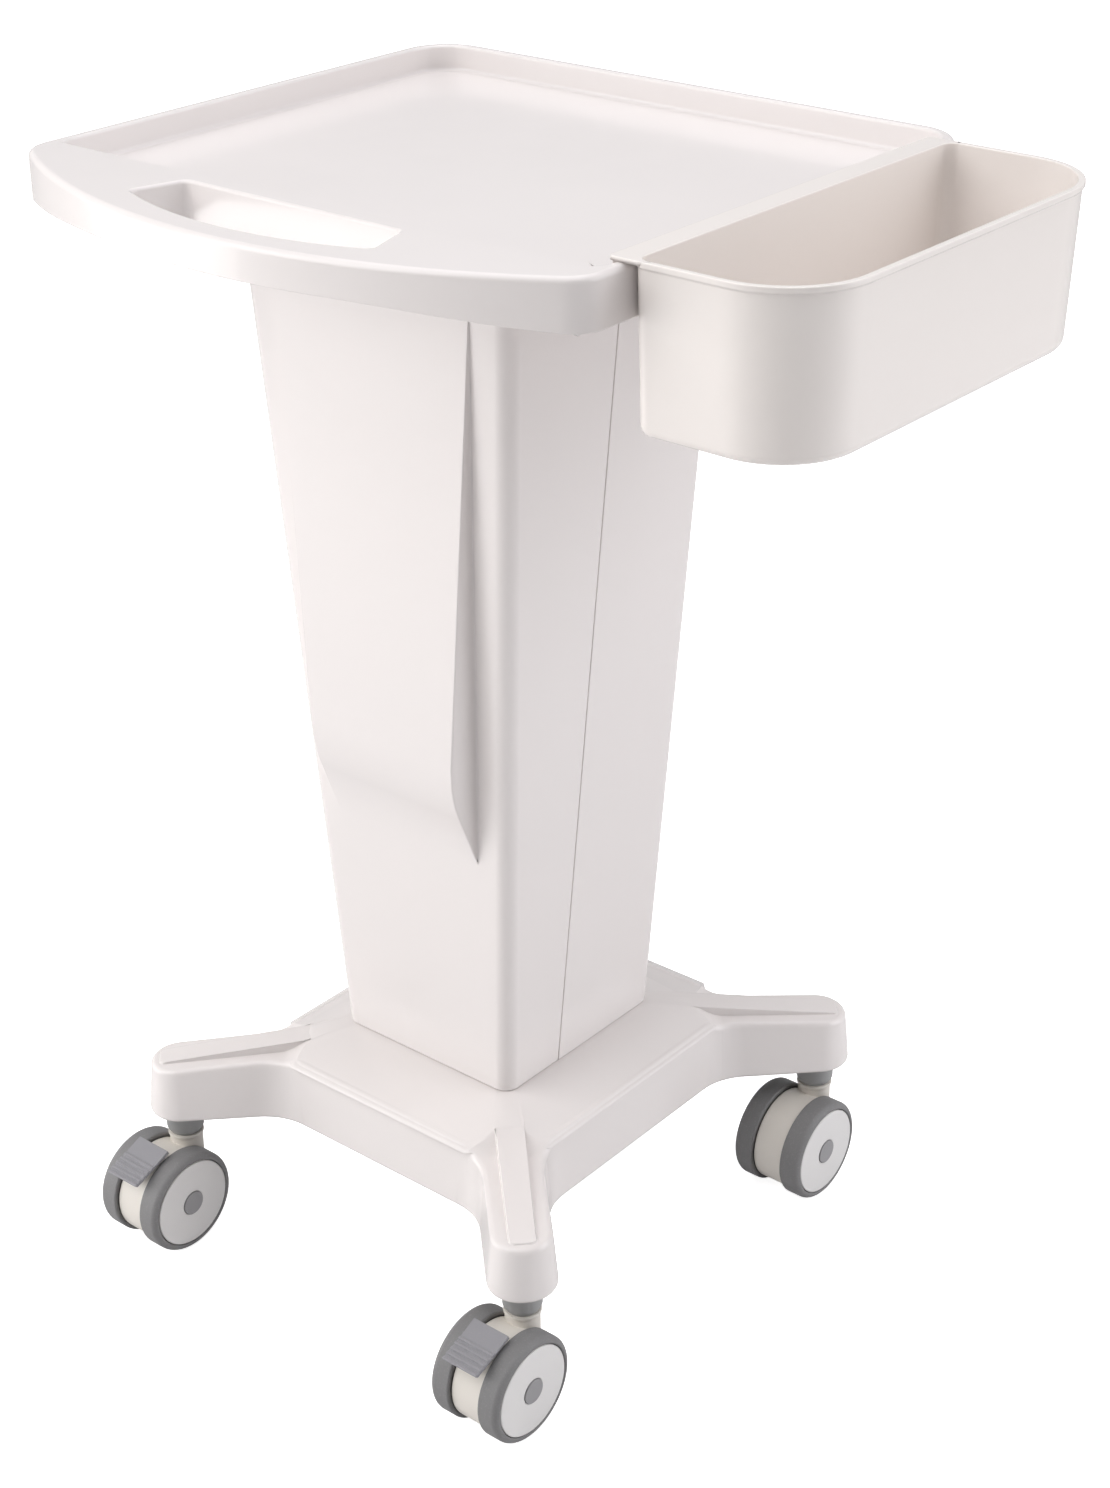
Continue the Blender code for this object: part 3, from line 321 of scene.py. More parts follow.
def rod(radius: float, low: float, high: float, axis: Axis, centre: Sequence[float], steps: int,
        edge: float = 0.0) -> BMesh:
    """A turned rod, with rounded rims where an edge is given.

    Args:
        radius: its radius.
        low: where it starts along the axis.
        high: where it ends.
        axis: X or Z.
        centre: a point of the axis.
        steps: facets round it.
        edge: radius of its rims.

    Returns:
        The closed solid.
    """
    profile = [(0.0, low)]
    if edge > 0.0:
        profile += [(radius - edge + rise, low + come) for come, rise in quarter(edge, RIM_STEPS)]
        profile += [(radius - come, high - edge + rise) for come, rise in quarter(edge, RIM_STEPS)]
    else:
        profile += [(radius, low), (radius, high)]
    profile.append((0.0, high))
    return turned(profile, steps, axis, centre, closed=False)


def to_object(name: str, mesh: BMesh) -> bpy.types.Object:
    """Put a bmesh in a new object in the scene and free it."""
    data = bpy.data.meshes.new(name)
    mesh.to_mesh(data)
    mesh.free()
    obj = bpy.data.objects.new(name, data)
    bpy.context.scene.collection.objects.link(obj)
    return obj


def evaluated_mesh(obj: bpy.types.Object) -> bpy.types.Mesh:
    """The mesh of an object with its modifiers applied."""
    graph = bpy.context.evaluated_depsgraph_get()
    graph.update()
    return bpy.data.meshes.new_from_object(obj.evaluated_get(graph), preserve_all_data_layers=True,
                                           depsgraph=graph)


def discard(objects: Sequence[bpy.types.Object]) -> None:
    """Delete working objects and their meshes."""
    for obj in objects:
        data = obj.data
        bpy.data.objects.remove(obj)
        bpy.data.meshes.remove(data)


def combine(base: BMesh, *steps: tuple[Operation, BMesh]) -> BMesh:
    """Join solids to a base and cut solids from it, in order.

    Args:
        base: the solid to start from.
        steps: each operation with its solid.

    Returns:
        The combined solid, with doubled points merged and flat faces dissolved.
    """
    work = to_object("work", base)
    tools = []
    for operation, solid in steps:
        tool = to_object("tool", solid)
        tools.append(tool)
        modifier = work.modifiers.new("step", "BOOLEAN")
        modifier.operation = operation.value
        modifier.object = tool
        modifier.solver = "EXACT"
    data = evaluated_mesh(work)
    discard([work, *tools])
    mesh = bmesh.new()
    mesh.from_mesh(data)
    bpy.data.meshes.remove(data)
    bmesh.ops.remove_doubles(mesh, verts=mesh.verts, dist=MERGE)
    bmesh.ops.dissolve_limit(mesh, angle_limit=FLAT, verts=mesh.verts, edges=mesh.edges)
    return mesh


def soften(mesh: BMesh, radius: float, where: Callable[[BMEdge], bool], steps: int) -> None:
    """Round the chosen edges of a solid.

    Args:
        mesh: the solid.
        radius: the width of the rounding.
        where: says which edges are rounded.
        steps: facets across the rounding.
    """
    chosen = [edge for edge in mesh.edges if edge.is_manifold and where(edge)]
    bmesh.ops.bevel(mesh, geom=chosen, offset=radius, segments=steps, profile=0.5, affect="EDGES",
                    material=-1, loop_slide=True, clamp_overlap=False)


def divide(mesh: BMesh, point: Sequence[float], normal: Sequence[float]) -> None:
    """Split every face that crosses a plane, so that no face bends round a hole."""
    bmesh.ops.bisect_plane(mesh, geom=mesh.verts[:] + mesh.edges[:] + mesh.faces[:], plane_co=point,
                           plane_no=normal)


def crease(edge: BMEdge) -> float:
    """The angle between an edge's two faces, in degrees."""
    return math.degrees(edge.calc_face_angle(0.0))


# Finishes

MIX_FIRST, MIX_SECOND, MIX_RESULT = 6, 7, 2     # the colour sockets of a Mix node
DRIFT_SPAN = (0.2, 0.8)                         # of the noise's value, where the two tints meet
SPECK_SPAN = (0.5, 0.75)                        # where a speck shows
HANDLED_SPAN = (0.25, 0.75)                     # where the gloss changes
HANDLED_SCALE = 14.0                            # cells of uneven gloss per metre


def ranged(tree: bpy.types.NodeTree, value: bpy.types.NodeSocket, source: tuple[float, float],
           target: tuple[float, float]) -> bpy.types.NodeSocket:
    """A value moved smoothly from one range to another."""
    node = tree.nodes.new("ShaderNodeMapRange")
    node.interpolation_type = "SMOOTHSTEP"
    for name, number in zip(("From Min", "From Max", "To Min", "To Max"), (*source, *target)):
        node.inputs[name].default_value = number
    tree.links.new(value, node.inputs["Value"])
    return node.outputs["Result"]


@dataclass(frozen=True)
class Finish:
    """A moulded, rubber, painted or plated surface.

    Its colour drifts gently between two tints, its gloss is uneven as handled plastic's is, and two
    layers of bump give it the mould's fine grain and the slow waviness of a cooled wall.
    """

    name: str
    slot: Slot
    colour: Colour
    tint: Colour
    roughness: float
    roughness_spread: float = 0.02
    metallic: float = 0.0
    specular: float = 0.5
    coat: float = 0.0
    coat_roughness: float = 0.08
    tint_scale: float = 5.0             # cells per metre
    grain_scale: float = 320.0
    grain_height: float = 0.000004
    wave_scale: float = 9.0
    wave_height: float = 0.00012
    speck: Colour | None = None         # colour of fine specks, where it has them
    speck_scale: float = 900.0
    speck_share: float = 0.35

    def material(self) -> bpy.types.Material:
        """Build the node material.

        Returns:
            The new material.
        """
        made = bpy.data.materials.new(self.name)
        made.use_nodes = True
        made.diffuse_color = (*self.colour, 1.0)
        tree = made.node_tree
        shader = tree.nodes["Principled BSDF"]
        shader.inputs["Metallic"].default_value = self.metallic
        shader.inputs["Specular IOR Level"].default_value = self.specular
        shader.inputs["Coat Weight"].default_value = self.coat
        shader.inputs["Coat Roughness"].default_value = self.coat_roughness
        place = tree.nodes.new("ShaderNodeTexCoord").outputs["Object"]
        colour = self._drift(tree, place)
        if self.speck is not None:
            colour = self._specks(tree, place, colour)
        tree.links.new(colour, shader.inputs["Base Color"])
        tree.links.new(self._gloss(tree, place), shader.inputs["Roughness"])
        tree.links.new(self._relief(tree, place), shader.inputs["Normal"])
        return made

    @staticmethod
    def _noise(tree: bpy.types.NodeTree, place: bpy.types.NodeSocket, scale: float,
               detail: float = 2.0) -> bpy.types.NodeSocket:
        """A noise texture's value over the object's own coordinates."""
        node = tree.nodes.new("ShaderNodeTexNoise")
        node.inputs["Scale"].default_value = scale
        node.inputs["Detail"].default_value = detail
        tree.links.new(place, node.inputs["Vector"])
        return node.outputs["Fac"]

    @staticmethod
    def _mix(tree: bpy.types.NodeTree, share: bpy.types.NodeSocket, first: bpy.types.NodeSocket | Colour,
             second: Colour) -> bpy.types.NodeSocket:
        """Two colours mixed by a share."""
        node = tree.nodes.new("ShaderNodeMix")
        node.data_type = "RGBA"
        tree.links.new(share, node.inputs["Factor"])
        if isinstance(first, tuple):
            node.inputs[MIX_FIRST].default_value = (*first, 1.0)
        else:
            tree.links.new(first, node.inputs[MIX_FIRST])
        node.inputs[MIX_SECOND].default_value = (*second, 1.0)
        return node.outputs[MIX_RESULT]

    def _drift(self, tree: bpy.types.NodeTree, place: bpy.types.NodeSocket) -> bpy.types.NodeSocket:
        """The base colour, drifting between its two tints."""
        broad = ranged(tree, self._noise(tree, place, self.tint_scale, detail=1.0), DRIFT_SPAN, (0.0, 1.0))
        return self._mix(tree, broad, self.colour, self.tint)

    def _specks(self, tree: bpy.types.NodeTree, place: bpy.types.NodeSocket,
                colour: bpy.types.NodeSocket) -> bpy.types.NodeSocket:
        """Fine specks over the base colour."""
        share = ranged(tree, self._noise(tree, place, self.speck_scale, detail=4.0), SPECK_SPAN,
                       (0.0, self.speck_share))
        return self._mix(tree, share, colour, self.speck)

    def _gloss(self, tree: bpy.types.NodeTree, place: bpy.types.NodeSocket) -> bpy.types.NodeSocket:
        """Roughness, uneven as if wiped and handled."""
        return ranged(tree, self._noise(tree, place, HANDLED_SCALE), HANDLED_SPAN,
                      (self.roughness - self.roughness_spread, self.roughness + self.roughness_spread))

    def _relief(self, tree: bpy.types.NodeTree, place: bpy.types.NodeSocket) -> bpy.types.NodeSocket:
        """The surface's normal with its grain and its slow waves."""
        normal = None
        for scale, height, detail in ((self.wave_scale, self.wave_height, 1.0),
                                      (self.grain_scale, self.grain_height, 3.0)):
            bump = tree.nodes.new("ShaderNodeBump")
            bump.inputs["Strength"].default_value = 1.0
            bump.inputs["Distance"].default_value = height
            tree.links.new(self._noise(tree, place, scale, detail), bump.inputs["Height"])
            if normal is not None:
                tree.links.new(normal, bump.inputs["Normal"])
            normal = bump.outputs["Normal"]
        return normal


WHITE_PLASTIC = Finish("white_plastic", Slot.WHITE, (0.84, 0.795, 0.78), (0.832, 0.79, 0.776), 0.25,
                       coat=0.3)
CREAM_PLASTIC = Finish("cream_plastic", Slot.CREAM, (0.87, 0.82, 0.785), (0.862, 0.812, 0.778), 0.25,
                       coat=0.3)
HOUSING_PLASTIC = Finish("housing_plastic", Slot.CASTER, (0.80, 0.76, 0.70), (0.78, 0.74, 0.68), 0.38,
                         grain_height=0.000008)
DISC_PLASTIC = Finish("disc_plastic", Slot.CASTER, (0.79, 0.775, 0.765), (0.77, 0.757, 0.75), 0.36,
                      grain_height=0.000008)
TYRE_RUBBER = Finish("tyre_rubber", Slot.TYRE, (0.235, 0.232, 0.235), (0.21, 0.208, 0.21), 0.58, 0.05,
                     specular=0.4, grain_scale=900.0, grain_height=0.00004, wave_height=0.0,
                     speck=(0.32, 0.315, 0.31))
COLLAR_PLASTIC = Finish("collar_plastic", Slot.COLLAR, (0.35, 0.352, 0.352), (0.33, 0.332, 0.332), 0.42,
                        grain_height=0.000008)
PEDAL_PLASTIC = Finish("pedal_plastic", Slot.PEDAL, (0.30, 0.295, 0.315), (0.28, 0.275, 0.295), 0.44,
                       grain_height=0.00001, speck=(0.36, 0.355, 0.37), speck_share=0.15)
CAP_PLASTIC = Finish("cap_plastic", Slot.CAP, (0.33, 0.325, 0.335), (0.31, 0.305, 0.315), 0.42,
                     grain_height=0.000008)
POWDER_COAT = Finish("powder_coat", Slot.PAINT, (0.30, 0.31, 0.32), (0.27, 0.28, 0.29), 0.45, metallic=0.2,
                     grain_scale=700.0, grain_height=0.00005, wave_height=0.0, speck=(0.36, 0.37, 0.38))
ZINC_PLATE = Finish("zinc_plate", Slot.ZINC, (0.62, 0.62, 0.63), (0.55, 0.55, 0.57), 0.34, 0.08,
                    metallic=1.0, wave_height=0.0)
NODE_FINISHES = {finish.slot: finish for finish in (
    WHITE_PLASTIC, CREAM_PLASTIC, HOUSING_PLASTIC, TYRE_RUBBER, COLLAR_PLASTIC, PEDAL_PLASTIC, CAP_PLASTIC,
    POWDER_COAT, ZINC_PLATE)}


class Dresser:
    """Makes the finished pieces, puts them on their bodies and gives everything its finish."""

    def __init__(self, frame: dict) -> None:
        """Keep the frame's nodes and their slots."""
        self.nodes = frame["nodes"]
        self.materials: dict[Finish, bpy.types.Material] = {}
        self.node_slots = {row["node"]: Slot(row["material_slot"]) for row in frame["record"]["subparts"]}

    def material(self, finish: Finish) -> bpy.types.Material:
        """The one material of a finish, built when it is first needed."""
        if finish not in self.materials:
            self.materials[finish] = finish.material()
        return self.materials[finish]

    def piece(self, name: str, mesh: BMesh, node: str, finish: Finish, edge: float, sharpest: float = 28.0,
              keep: Callable[[BMEdge], bool] | None = None) -> bpy.types.Object:
        """Turn a solid into the finished piece that stands for a CAD node.

        Args:
            name: the piece's name.
            mesh: its solid, in the column's coordinates.
            node: the CAD node that it replaces.
            finish: its finish.
            edge: radius of the edges that are still sharp; 0 leaves them.
            sharpest: angle in degrees past which an edge counts as sharp.
            keep: says which edges stay sharp all the same.

        Returns:
            The finished piece.
        """
        weight = mesh.edges.layers.float.new("bevel_weight_edge")
        for part in mesh.edges:
            if crease(part) > sharpest and not (keep and keep(part)):
                part[weight] = 1.0
        work = to_object("work", mesh)
        work.data.shade_smooth()
        if edge > 0.0:
            bevel = work.modifiers.new("edges", "BEVEL")
            bevel.limit_method = "WEIGHT"
            bevel.width = edge
            bevel.segments = EDGE_STEPS
            bevel.use_clamp_overlap = False
            bevel.harden_normals = False
            bevel.miter_outer = "MITER_ARC"
        weigh = work.modifiers.new("normals", "WEIGHTED_NORMAL")
        weigh.mode = "FACE_AREA"
        weigh.weight = NORMAL_WEIGHT
        weigh.keep_sharp = True
        data = evaluated_mesh(work)
        discard([work])
        data.name = name
        data.transform(Matrix.Translation(ORIGIN))
        obj = bpy.data.objects.new(name, data)
        bpy.context.scene.collection.objects.link(obj)
        data.materials.clear()
        data.materials.append(self.material(finish))
        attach(obj, body_of(self.nodes[node])[0])
        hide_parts(node)
        LOG.info("%s: %d faces, stands for %s", name, len(data.polygons), node)
        return obj

    def dress_nodes(self) -> None:
        """Give every CAD node that is still shown its finish."""
        for name, obj in self.nodes.items():
            if obj.hide_render:
                continue
            obj.data.materials.clear()
            finish = NODE_FINISHES[self.node_slots[name]]
            obj.data.materials.append(self.material(finish))
            LOG.info("%s keeps its CAD shape in %s", name, finish.name)


# Tray

@dataclass
class TrayTop:
    """The tray: raised rim, recessed deck with a concave front ramp, hand slot and skirt."""

    top: float = 0.7785
    half_width: float = 0.2195
    back: float = 0.205
    front: float = 0.242
    bow_radius: float = 0.388
    front_corner: float = 0.026
    back_corner: float = 0.035
    edge: float = 0.004
    sharp_round: float = 0.0008         # radius of the edges that the outlines leave sharp
    skirt: float = 0.031
    wall: float = 0.003
    rim: float = 0.008
    recess_depth: float = 0.0175
    recess_front: float = 0.1555
    recess_ramp: float = 0.0435
    ramp_before: float = -0.03          # share of the ramp where its straight crest starts
    ramp_after: float = 0.04            # and where the crest ends and the curve starts
    ramp_steps: int = 24
    recess_front_corner: float = 0.021
    recess_fillet: float = 0.003
    crest_round: float = 0.0022
    crest_past: float = 0.006           # how far the recess's cutter reaches past the ramp's crest
    crest_zone: float = 0.009           # either side of the crest, where it stays crisp
    beyond: float = 0.3                 # past the tray's sides
    grip_width: float = 0.0195
    slot_bow_radius: float = 0.240
    slot_bow_in: float = 3.0            # degrees from the slot's front corners to its bow's first points
    slot_back: float = 0.168
    slot_back_half: float = 0.084
    slot_front_half: float = 0.095
    slot_corner: float = 0.006
    slot_round: float = 0.0022
    arch_skirt: float = 0.0215
    arch_flat_half: float = 0.110
    arch_half_span: float = 0.216
    arch_corner: float = 0.8
    arch_back: float = 0.1755           # in front of the slot's back wall, which stays deep
    corner_steps: int = 14              # facets round each corner, curve and edge
    front_steps: int = 12
    bow_steps: int = 60
    slot_bow_steps: int = 40
    slot_steps: int = 8
    arch_steps: int = 16
    edge_steps: int = 6

    def plan(self, inset: float) -> Outline:
        """The tray's outline drawn in by an inset: rounded back corners and a bowed front."""
        bow = (0.0, self.bow_radius - self.front)
        corner_x = self.half_width - self.front_corner
        reach = self.bow_radius - self.front_corner
        corner_y = bow[1] - math.sqrt(reach ** 2 - corner_x ** 2)
        touch = math.degrees(math.atan2(bow[1] - corner_y, corner_x))
        back_x, back_y = self.half_width - self.back_corner, self.back - self.back_corner
        back_radius, front_radius = self.back_corner - inset, self.front_corner - inset
        points = arc((back_x, back_y), back_radius, 0.0, 90.0, self.corner_steps)
        points += arc((-back_x, back_y), back_radius, 90.0, 180.0, self.corner_steps)
        points += arc((-corner_x, corner_y), front_radius, 180.0, 180.0 + touch, self.front_steps)
        points += arc(bow, self.bow_radius - inset, 180.0 + touch, 360.0 - touch, self.bow_steps)[1:-1]
        points += arc((corner_x, corner_y), front_radius, 360.0 - touch, 360.0, self.front_steps)
        return points

    def slot_plan(self, grow: float) -> Outline:
        """The hand slot's outline: a straight back edge and a front edge that follows the bow."""
        centre = (0.0, self.slot_bow_radius + self.grip_width - self.front)
        radius = self.slot_bow_radius + grow
        spread = math.degrees(math.asin((self.slot_front_half + grow) / radius))
        ends = arc(centre, radius, 270.0 - spread, 270.0 + spread, 1)
        middle = arc(centre, radius, 270.0 + self.slot_bow_in - spread, 270.0 - self.slot_bow_in + spread,
                     self.slot_bow_steps)
        corners = [(*ends[0], self.slot_corner), *((x, y, 0.0) for x, y in middle),
                   (*ends[1], self.slot_corner)]
        corners.append((self.slot_back_half + grow, -self.slot_back + grow, self.slot_corner))
        corners.append((-self.slot_back_half - grow, -self.slot_back + grow, self.slot_corner))
        return rounded(corners, self.slot_steps)

    def slot_solid(self, grow: float, flared: bool) -> BMesh:
        """The solid that opens the hand slot, with a rounded mouth where it is flared."""
        low = self.top - self.skirt - PAST
        levels = [(self.slot_plan(grow), low)]
        if flared:
            levels += [(self.slot_plan(grow + come), self.top - self.slot_round + rise)
                       for come, rise in quarter(self.slot_round)]
        levels.append((self.slot_plan(grow + (self.slot_round if flared else 0.0)), self.top + PAST))
        return stack(levels)

    def recess_plan(self, grow: float) -> Outline:
        """The recess's outline, grown by a margin."""
        side = self.half_width - self.rim + grow
        return rectangle((-side, -self.recess_front - self.crest_past - grow),
                         (side, self.back - self.rim + grow), self.recess_front_corner + grow,
                         self.back_corner - self.rim + grow, self.corner_steps)

    def recess_solid(self, offset: float) -> BMesh:
        """The solid that sinks the deck.

        Args:
            offset: 0 for the deck's upper face, the wall's thickness for its underside.

        Returns:
            The recess, less the fill under its front ramp.
        """
        top, floor = self.top - offset, self.top - offset - self.recess_depth
        fillet, crest = self.recess_fillet, self.crest_round
        levels = [(self.recess_plan(offset - fillet + rise), floor + come)
                  for come, rise in quarter(fillet)]
        levels += [(self.recess_plan(offset + come), top - crest + rise) for come, rise in quarter(crest)]
        levels.append((self.recess_plan(offset + crest), top + PAST))
        fill = prism(self.ramp_profile(offset), -self.beyond, self.beyond, Axis.X)
        return combine(stack(levels), (Operation.CUT, fill))

    def ramp_profile(self, offset: float) -> Outline:
        """The fill under the front ramp, as (y, z): a crisp crest and a concave run down to the floor."""
        crest, floor = -self.recess_front - offset, self.top - offset - self.recess_depth
        shares = [self.ramp_before]
        shares += [self.ramp_after + (1.0 - self.ramp_after) * step / self.ramp_steps
                   for step in range(self.ramp_steps + 1)]
        run = [(crest + share * self.recess_ramp, floor + self.recess_depth * (1.0 - share) ** 2)
               for share in shares]
        return [(crest - 2.0 * self.crest_past, floor + self.recess_depth + PAST * 2.0), *run,
                (run[-1][0], floor - PAST), (crest - 2.0 * self.crest_past, floor - PAST)]

    def solid(self) -> BMesh:
        """The whole tray as one solid."""
        foot = self.top - self.skirt
        levels = [(self.plan(0.0), foot)]
        levels += [(self.plan(come), self.top - self.edge + rise)
                   for come, rise in quarter(self.edge, self.edge_steps)]
        hollow = combine(prism(self.plan(self.wall), foot - PAST, self.top - self.wall),
                         (Operation.CUT, self.recess_solid(self.wall)),
                         (Operation.CUT, self.slot_solid(self.wall, False)))
        crown = self.top - self.arch_skirt
        curve = rounded([(-self.arch_flat_half, crown, self.arch_corner),
                         (self.arch_flat_half, crown, self.arch_corner),
                         (self.arch_half_span, foot, 0.0), (self.arch_half_span, foot - PAST, 0.0),
                         (-self.arch_half_span, foot - PAST, 0.0), (-self.arch_half_span, foot, 0.0)],
                        self.arch_steps)
        arch = prism(curve, -self.front - PAST, -self.arch_back, Axis.Y)
        return combine(stack(levels), (Operation.CUT, self.recess_solid(0.0)),
                       (Operation.CUT, self.slot_solid(0.0, True)), (Operation.CUT, hollow),
                       (Operation.CUT, arch))

    def on_crest(self, edge: BMEdge) -> bool:
        """Whether an edge lies along the ramp's crest, level with the rim."""
        return all(abs(vert.co.z - self.top) < MERGE
                   and abs(vert.co.y + self.recess_front) < self.crest_zone for vert in edge.verts)

    def build(self, dresser: Dresser) -> None:
        """Make the tray's one moulding; the ramp's crest stays crisp."""
        dresser.piece("tray_moulding", self.solid(), "tray_top", WHITE_PLASTIC, self.sharp_round,
                      keep=self.on_crest)


@dataclass
class SideBin:
    """The drafted bin that hangs on the tray's right rim by its flange and hook."""

    tray: TrayTop
    clearance: float = 0.001
    front: float = 0.142
    back: float = 0.172
    width: float = 0.1155
    depth: float = 0.099
    wall: float = 0.0025
    draft: float = 0.0035
    lip: float = 0.0015
    lip_height: float = 0.0043
    lip_bend: float = 0.3               # share of the lip where its underside turns up
    sharp_round: float = 0.0008
    outer_corner: float = 0.055
    inner_corner: float = 0.010
    floor_round: float = 0.006
    flange_thickness: float = 0.0025
    flange_reach: float = 0.013
    flange_hook: float = 0.007
    flange_corner: float = 0.004
    end_corners: float = 1.3            # inner corners from an end to the plane that divides it off
    corner_steps: int = 20

    def plan(self, inset: float, inner_inset: float) -> Outline:
        """The bin's outline: big outer corners, small corners beside the tray."""
        inner = self.tray.half_width + self.clearance + inner_inset
        outer = self.tray.half_width + self.clearance + self.width - inset
        front, back = -self.front + inset, self.back - inset
        small, large = self.inner_corner - inner_inset, self.outer_corner - inset
        return rounded([(outer, front, large), (outer, back, large),
                        (inner, back, small), (inner, front, small)], self.corner_steps)

    def solid(self) -> BMesh:
        """The bin with its flange and hook as one solid."""
        top = self.tray.top + GAP + self.flange_thickness
        bottom = top - self.depth
        full = self.lip + self.draft
        turn = self.floor_round
        shell = [(self.plan(full + turn - rise, turn - rise), bottom + come) for come, rise in quarter(turn)]
        bend = self.lip * self.lip_bend
        shell += [(self.plan(self.lip, 0.0), top - self.lip_height),
                  (self.plan(bend, 0.0), top - self.lip_height + bend),
                  (self.plan(0.0, 0.0), top - self.lip_height + self.lip), (self.plan(0.0, 0.0), top)]
        edge = full + self.wall
        room = [(self.plan(edge + turn - rise, self.wall + turn - rise), bottom + self.wall + come)
                for come, rise in quarter(turn)]
        room.append((self.plan(self.lip + self.wall, self.wall), top + PAST))
        left = self.tray.half_width - self.flange_reach
        right = self.tray.half_width + self.clearance + self.inner_corner
        under = top - self.flange_thickness
        flange = prism(rectangle((left, -self.front), (right, self.back), self.flange_corner,
                                 self.flange_corner), under, top)
        hook = box((left, -self.front + self.flange_corner, under - self.flange_hook),
                   (left + self.wall, self.back - self.flange_corner, top - self.flange_thickness / 2.0))
        mesh = combine(stack(shell), (Operation.JOIN, flange), (Operation.JOIN, hook),
                       (Operation.CUT, stack(room)))
        beside = self.tray.half_width + self.clearance + self.wall / 2.0
        for station in (beside, beside + self.inner_corner, beside + self.width / 2.0):
            divide(mesh, (station, 0.0, 0.0), (1.0, 0.0, 0.0))
        end = self.end_corners * self.inner_corner
        for station in (end - self.front, 0.0, self.back - end):
            divide(mesh, (0.0, station, 0.0), (0.0, 1.0, 0.0))
        return mesh

    def under_flange(self, edge: BMEdge) -> bool:
        """Whether an edge lies on the flange's underside."""
        under = self.tray.top + GAP
        return all(abs(vert.co.z - under) < MERGE for vert in edge.verts)

    def build(self, dresser: Dresser) -> None:
        """Make the bin's one moulding; the flange's hidden underside stays sharp."""
        dresser.piece("bin_moulding", self.solid(), "side_bin", CREAM_PLASTIC, self.sharp_round,
                      keep=self.under_flange)


# Column

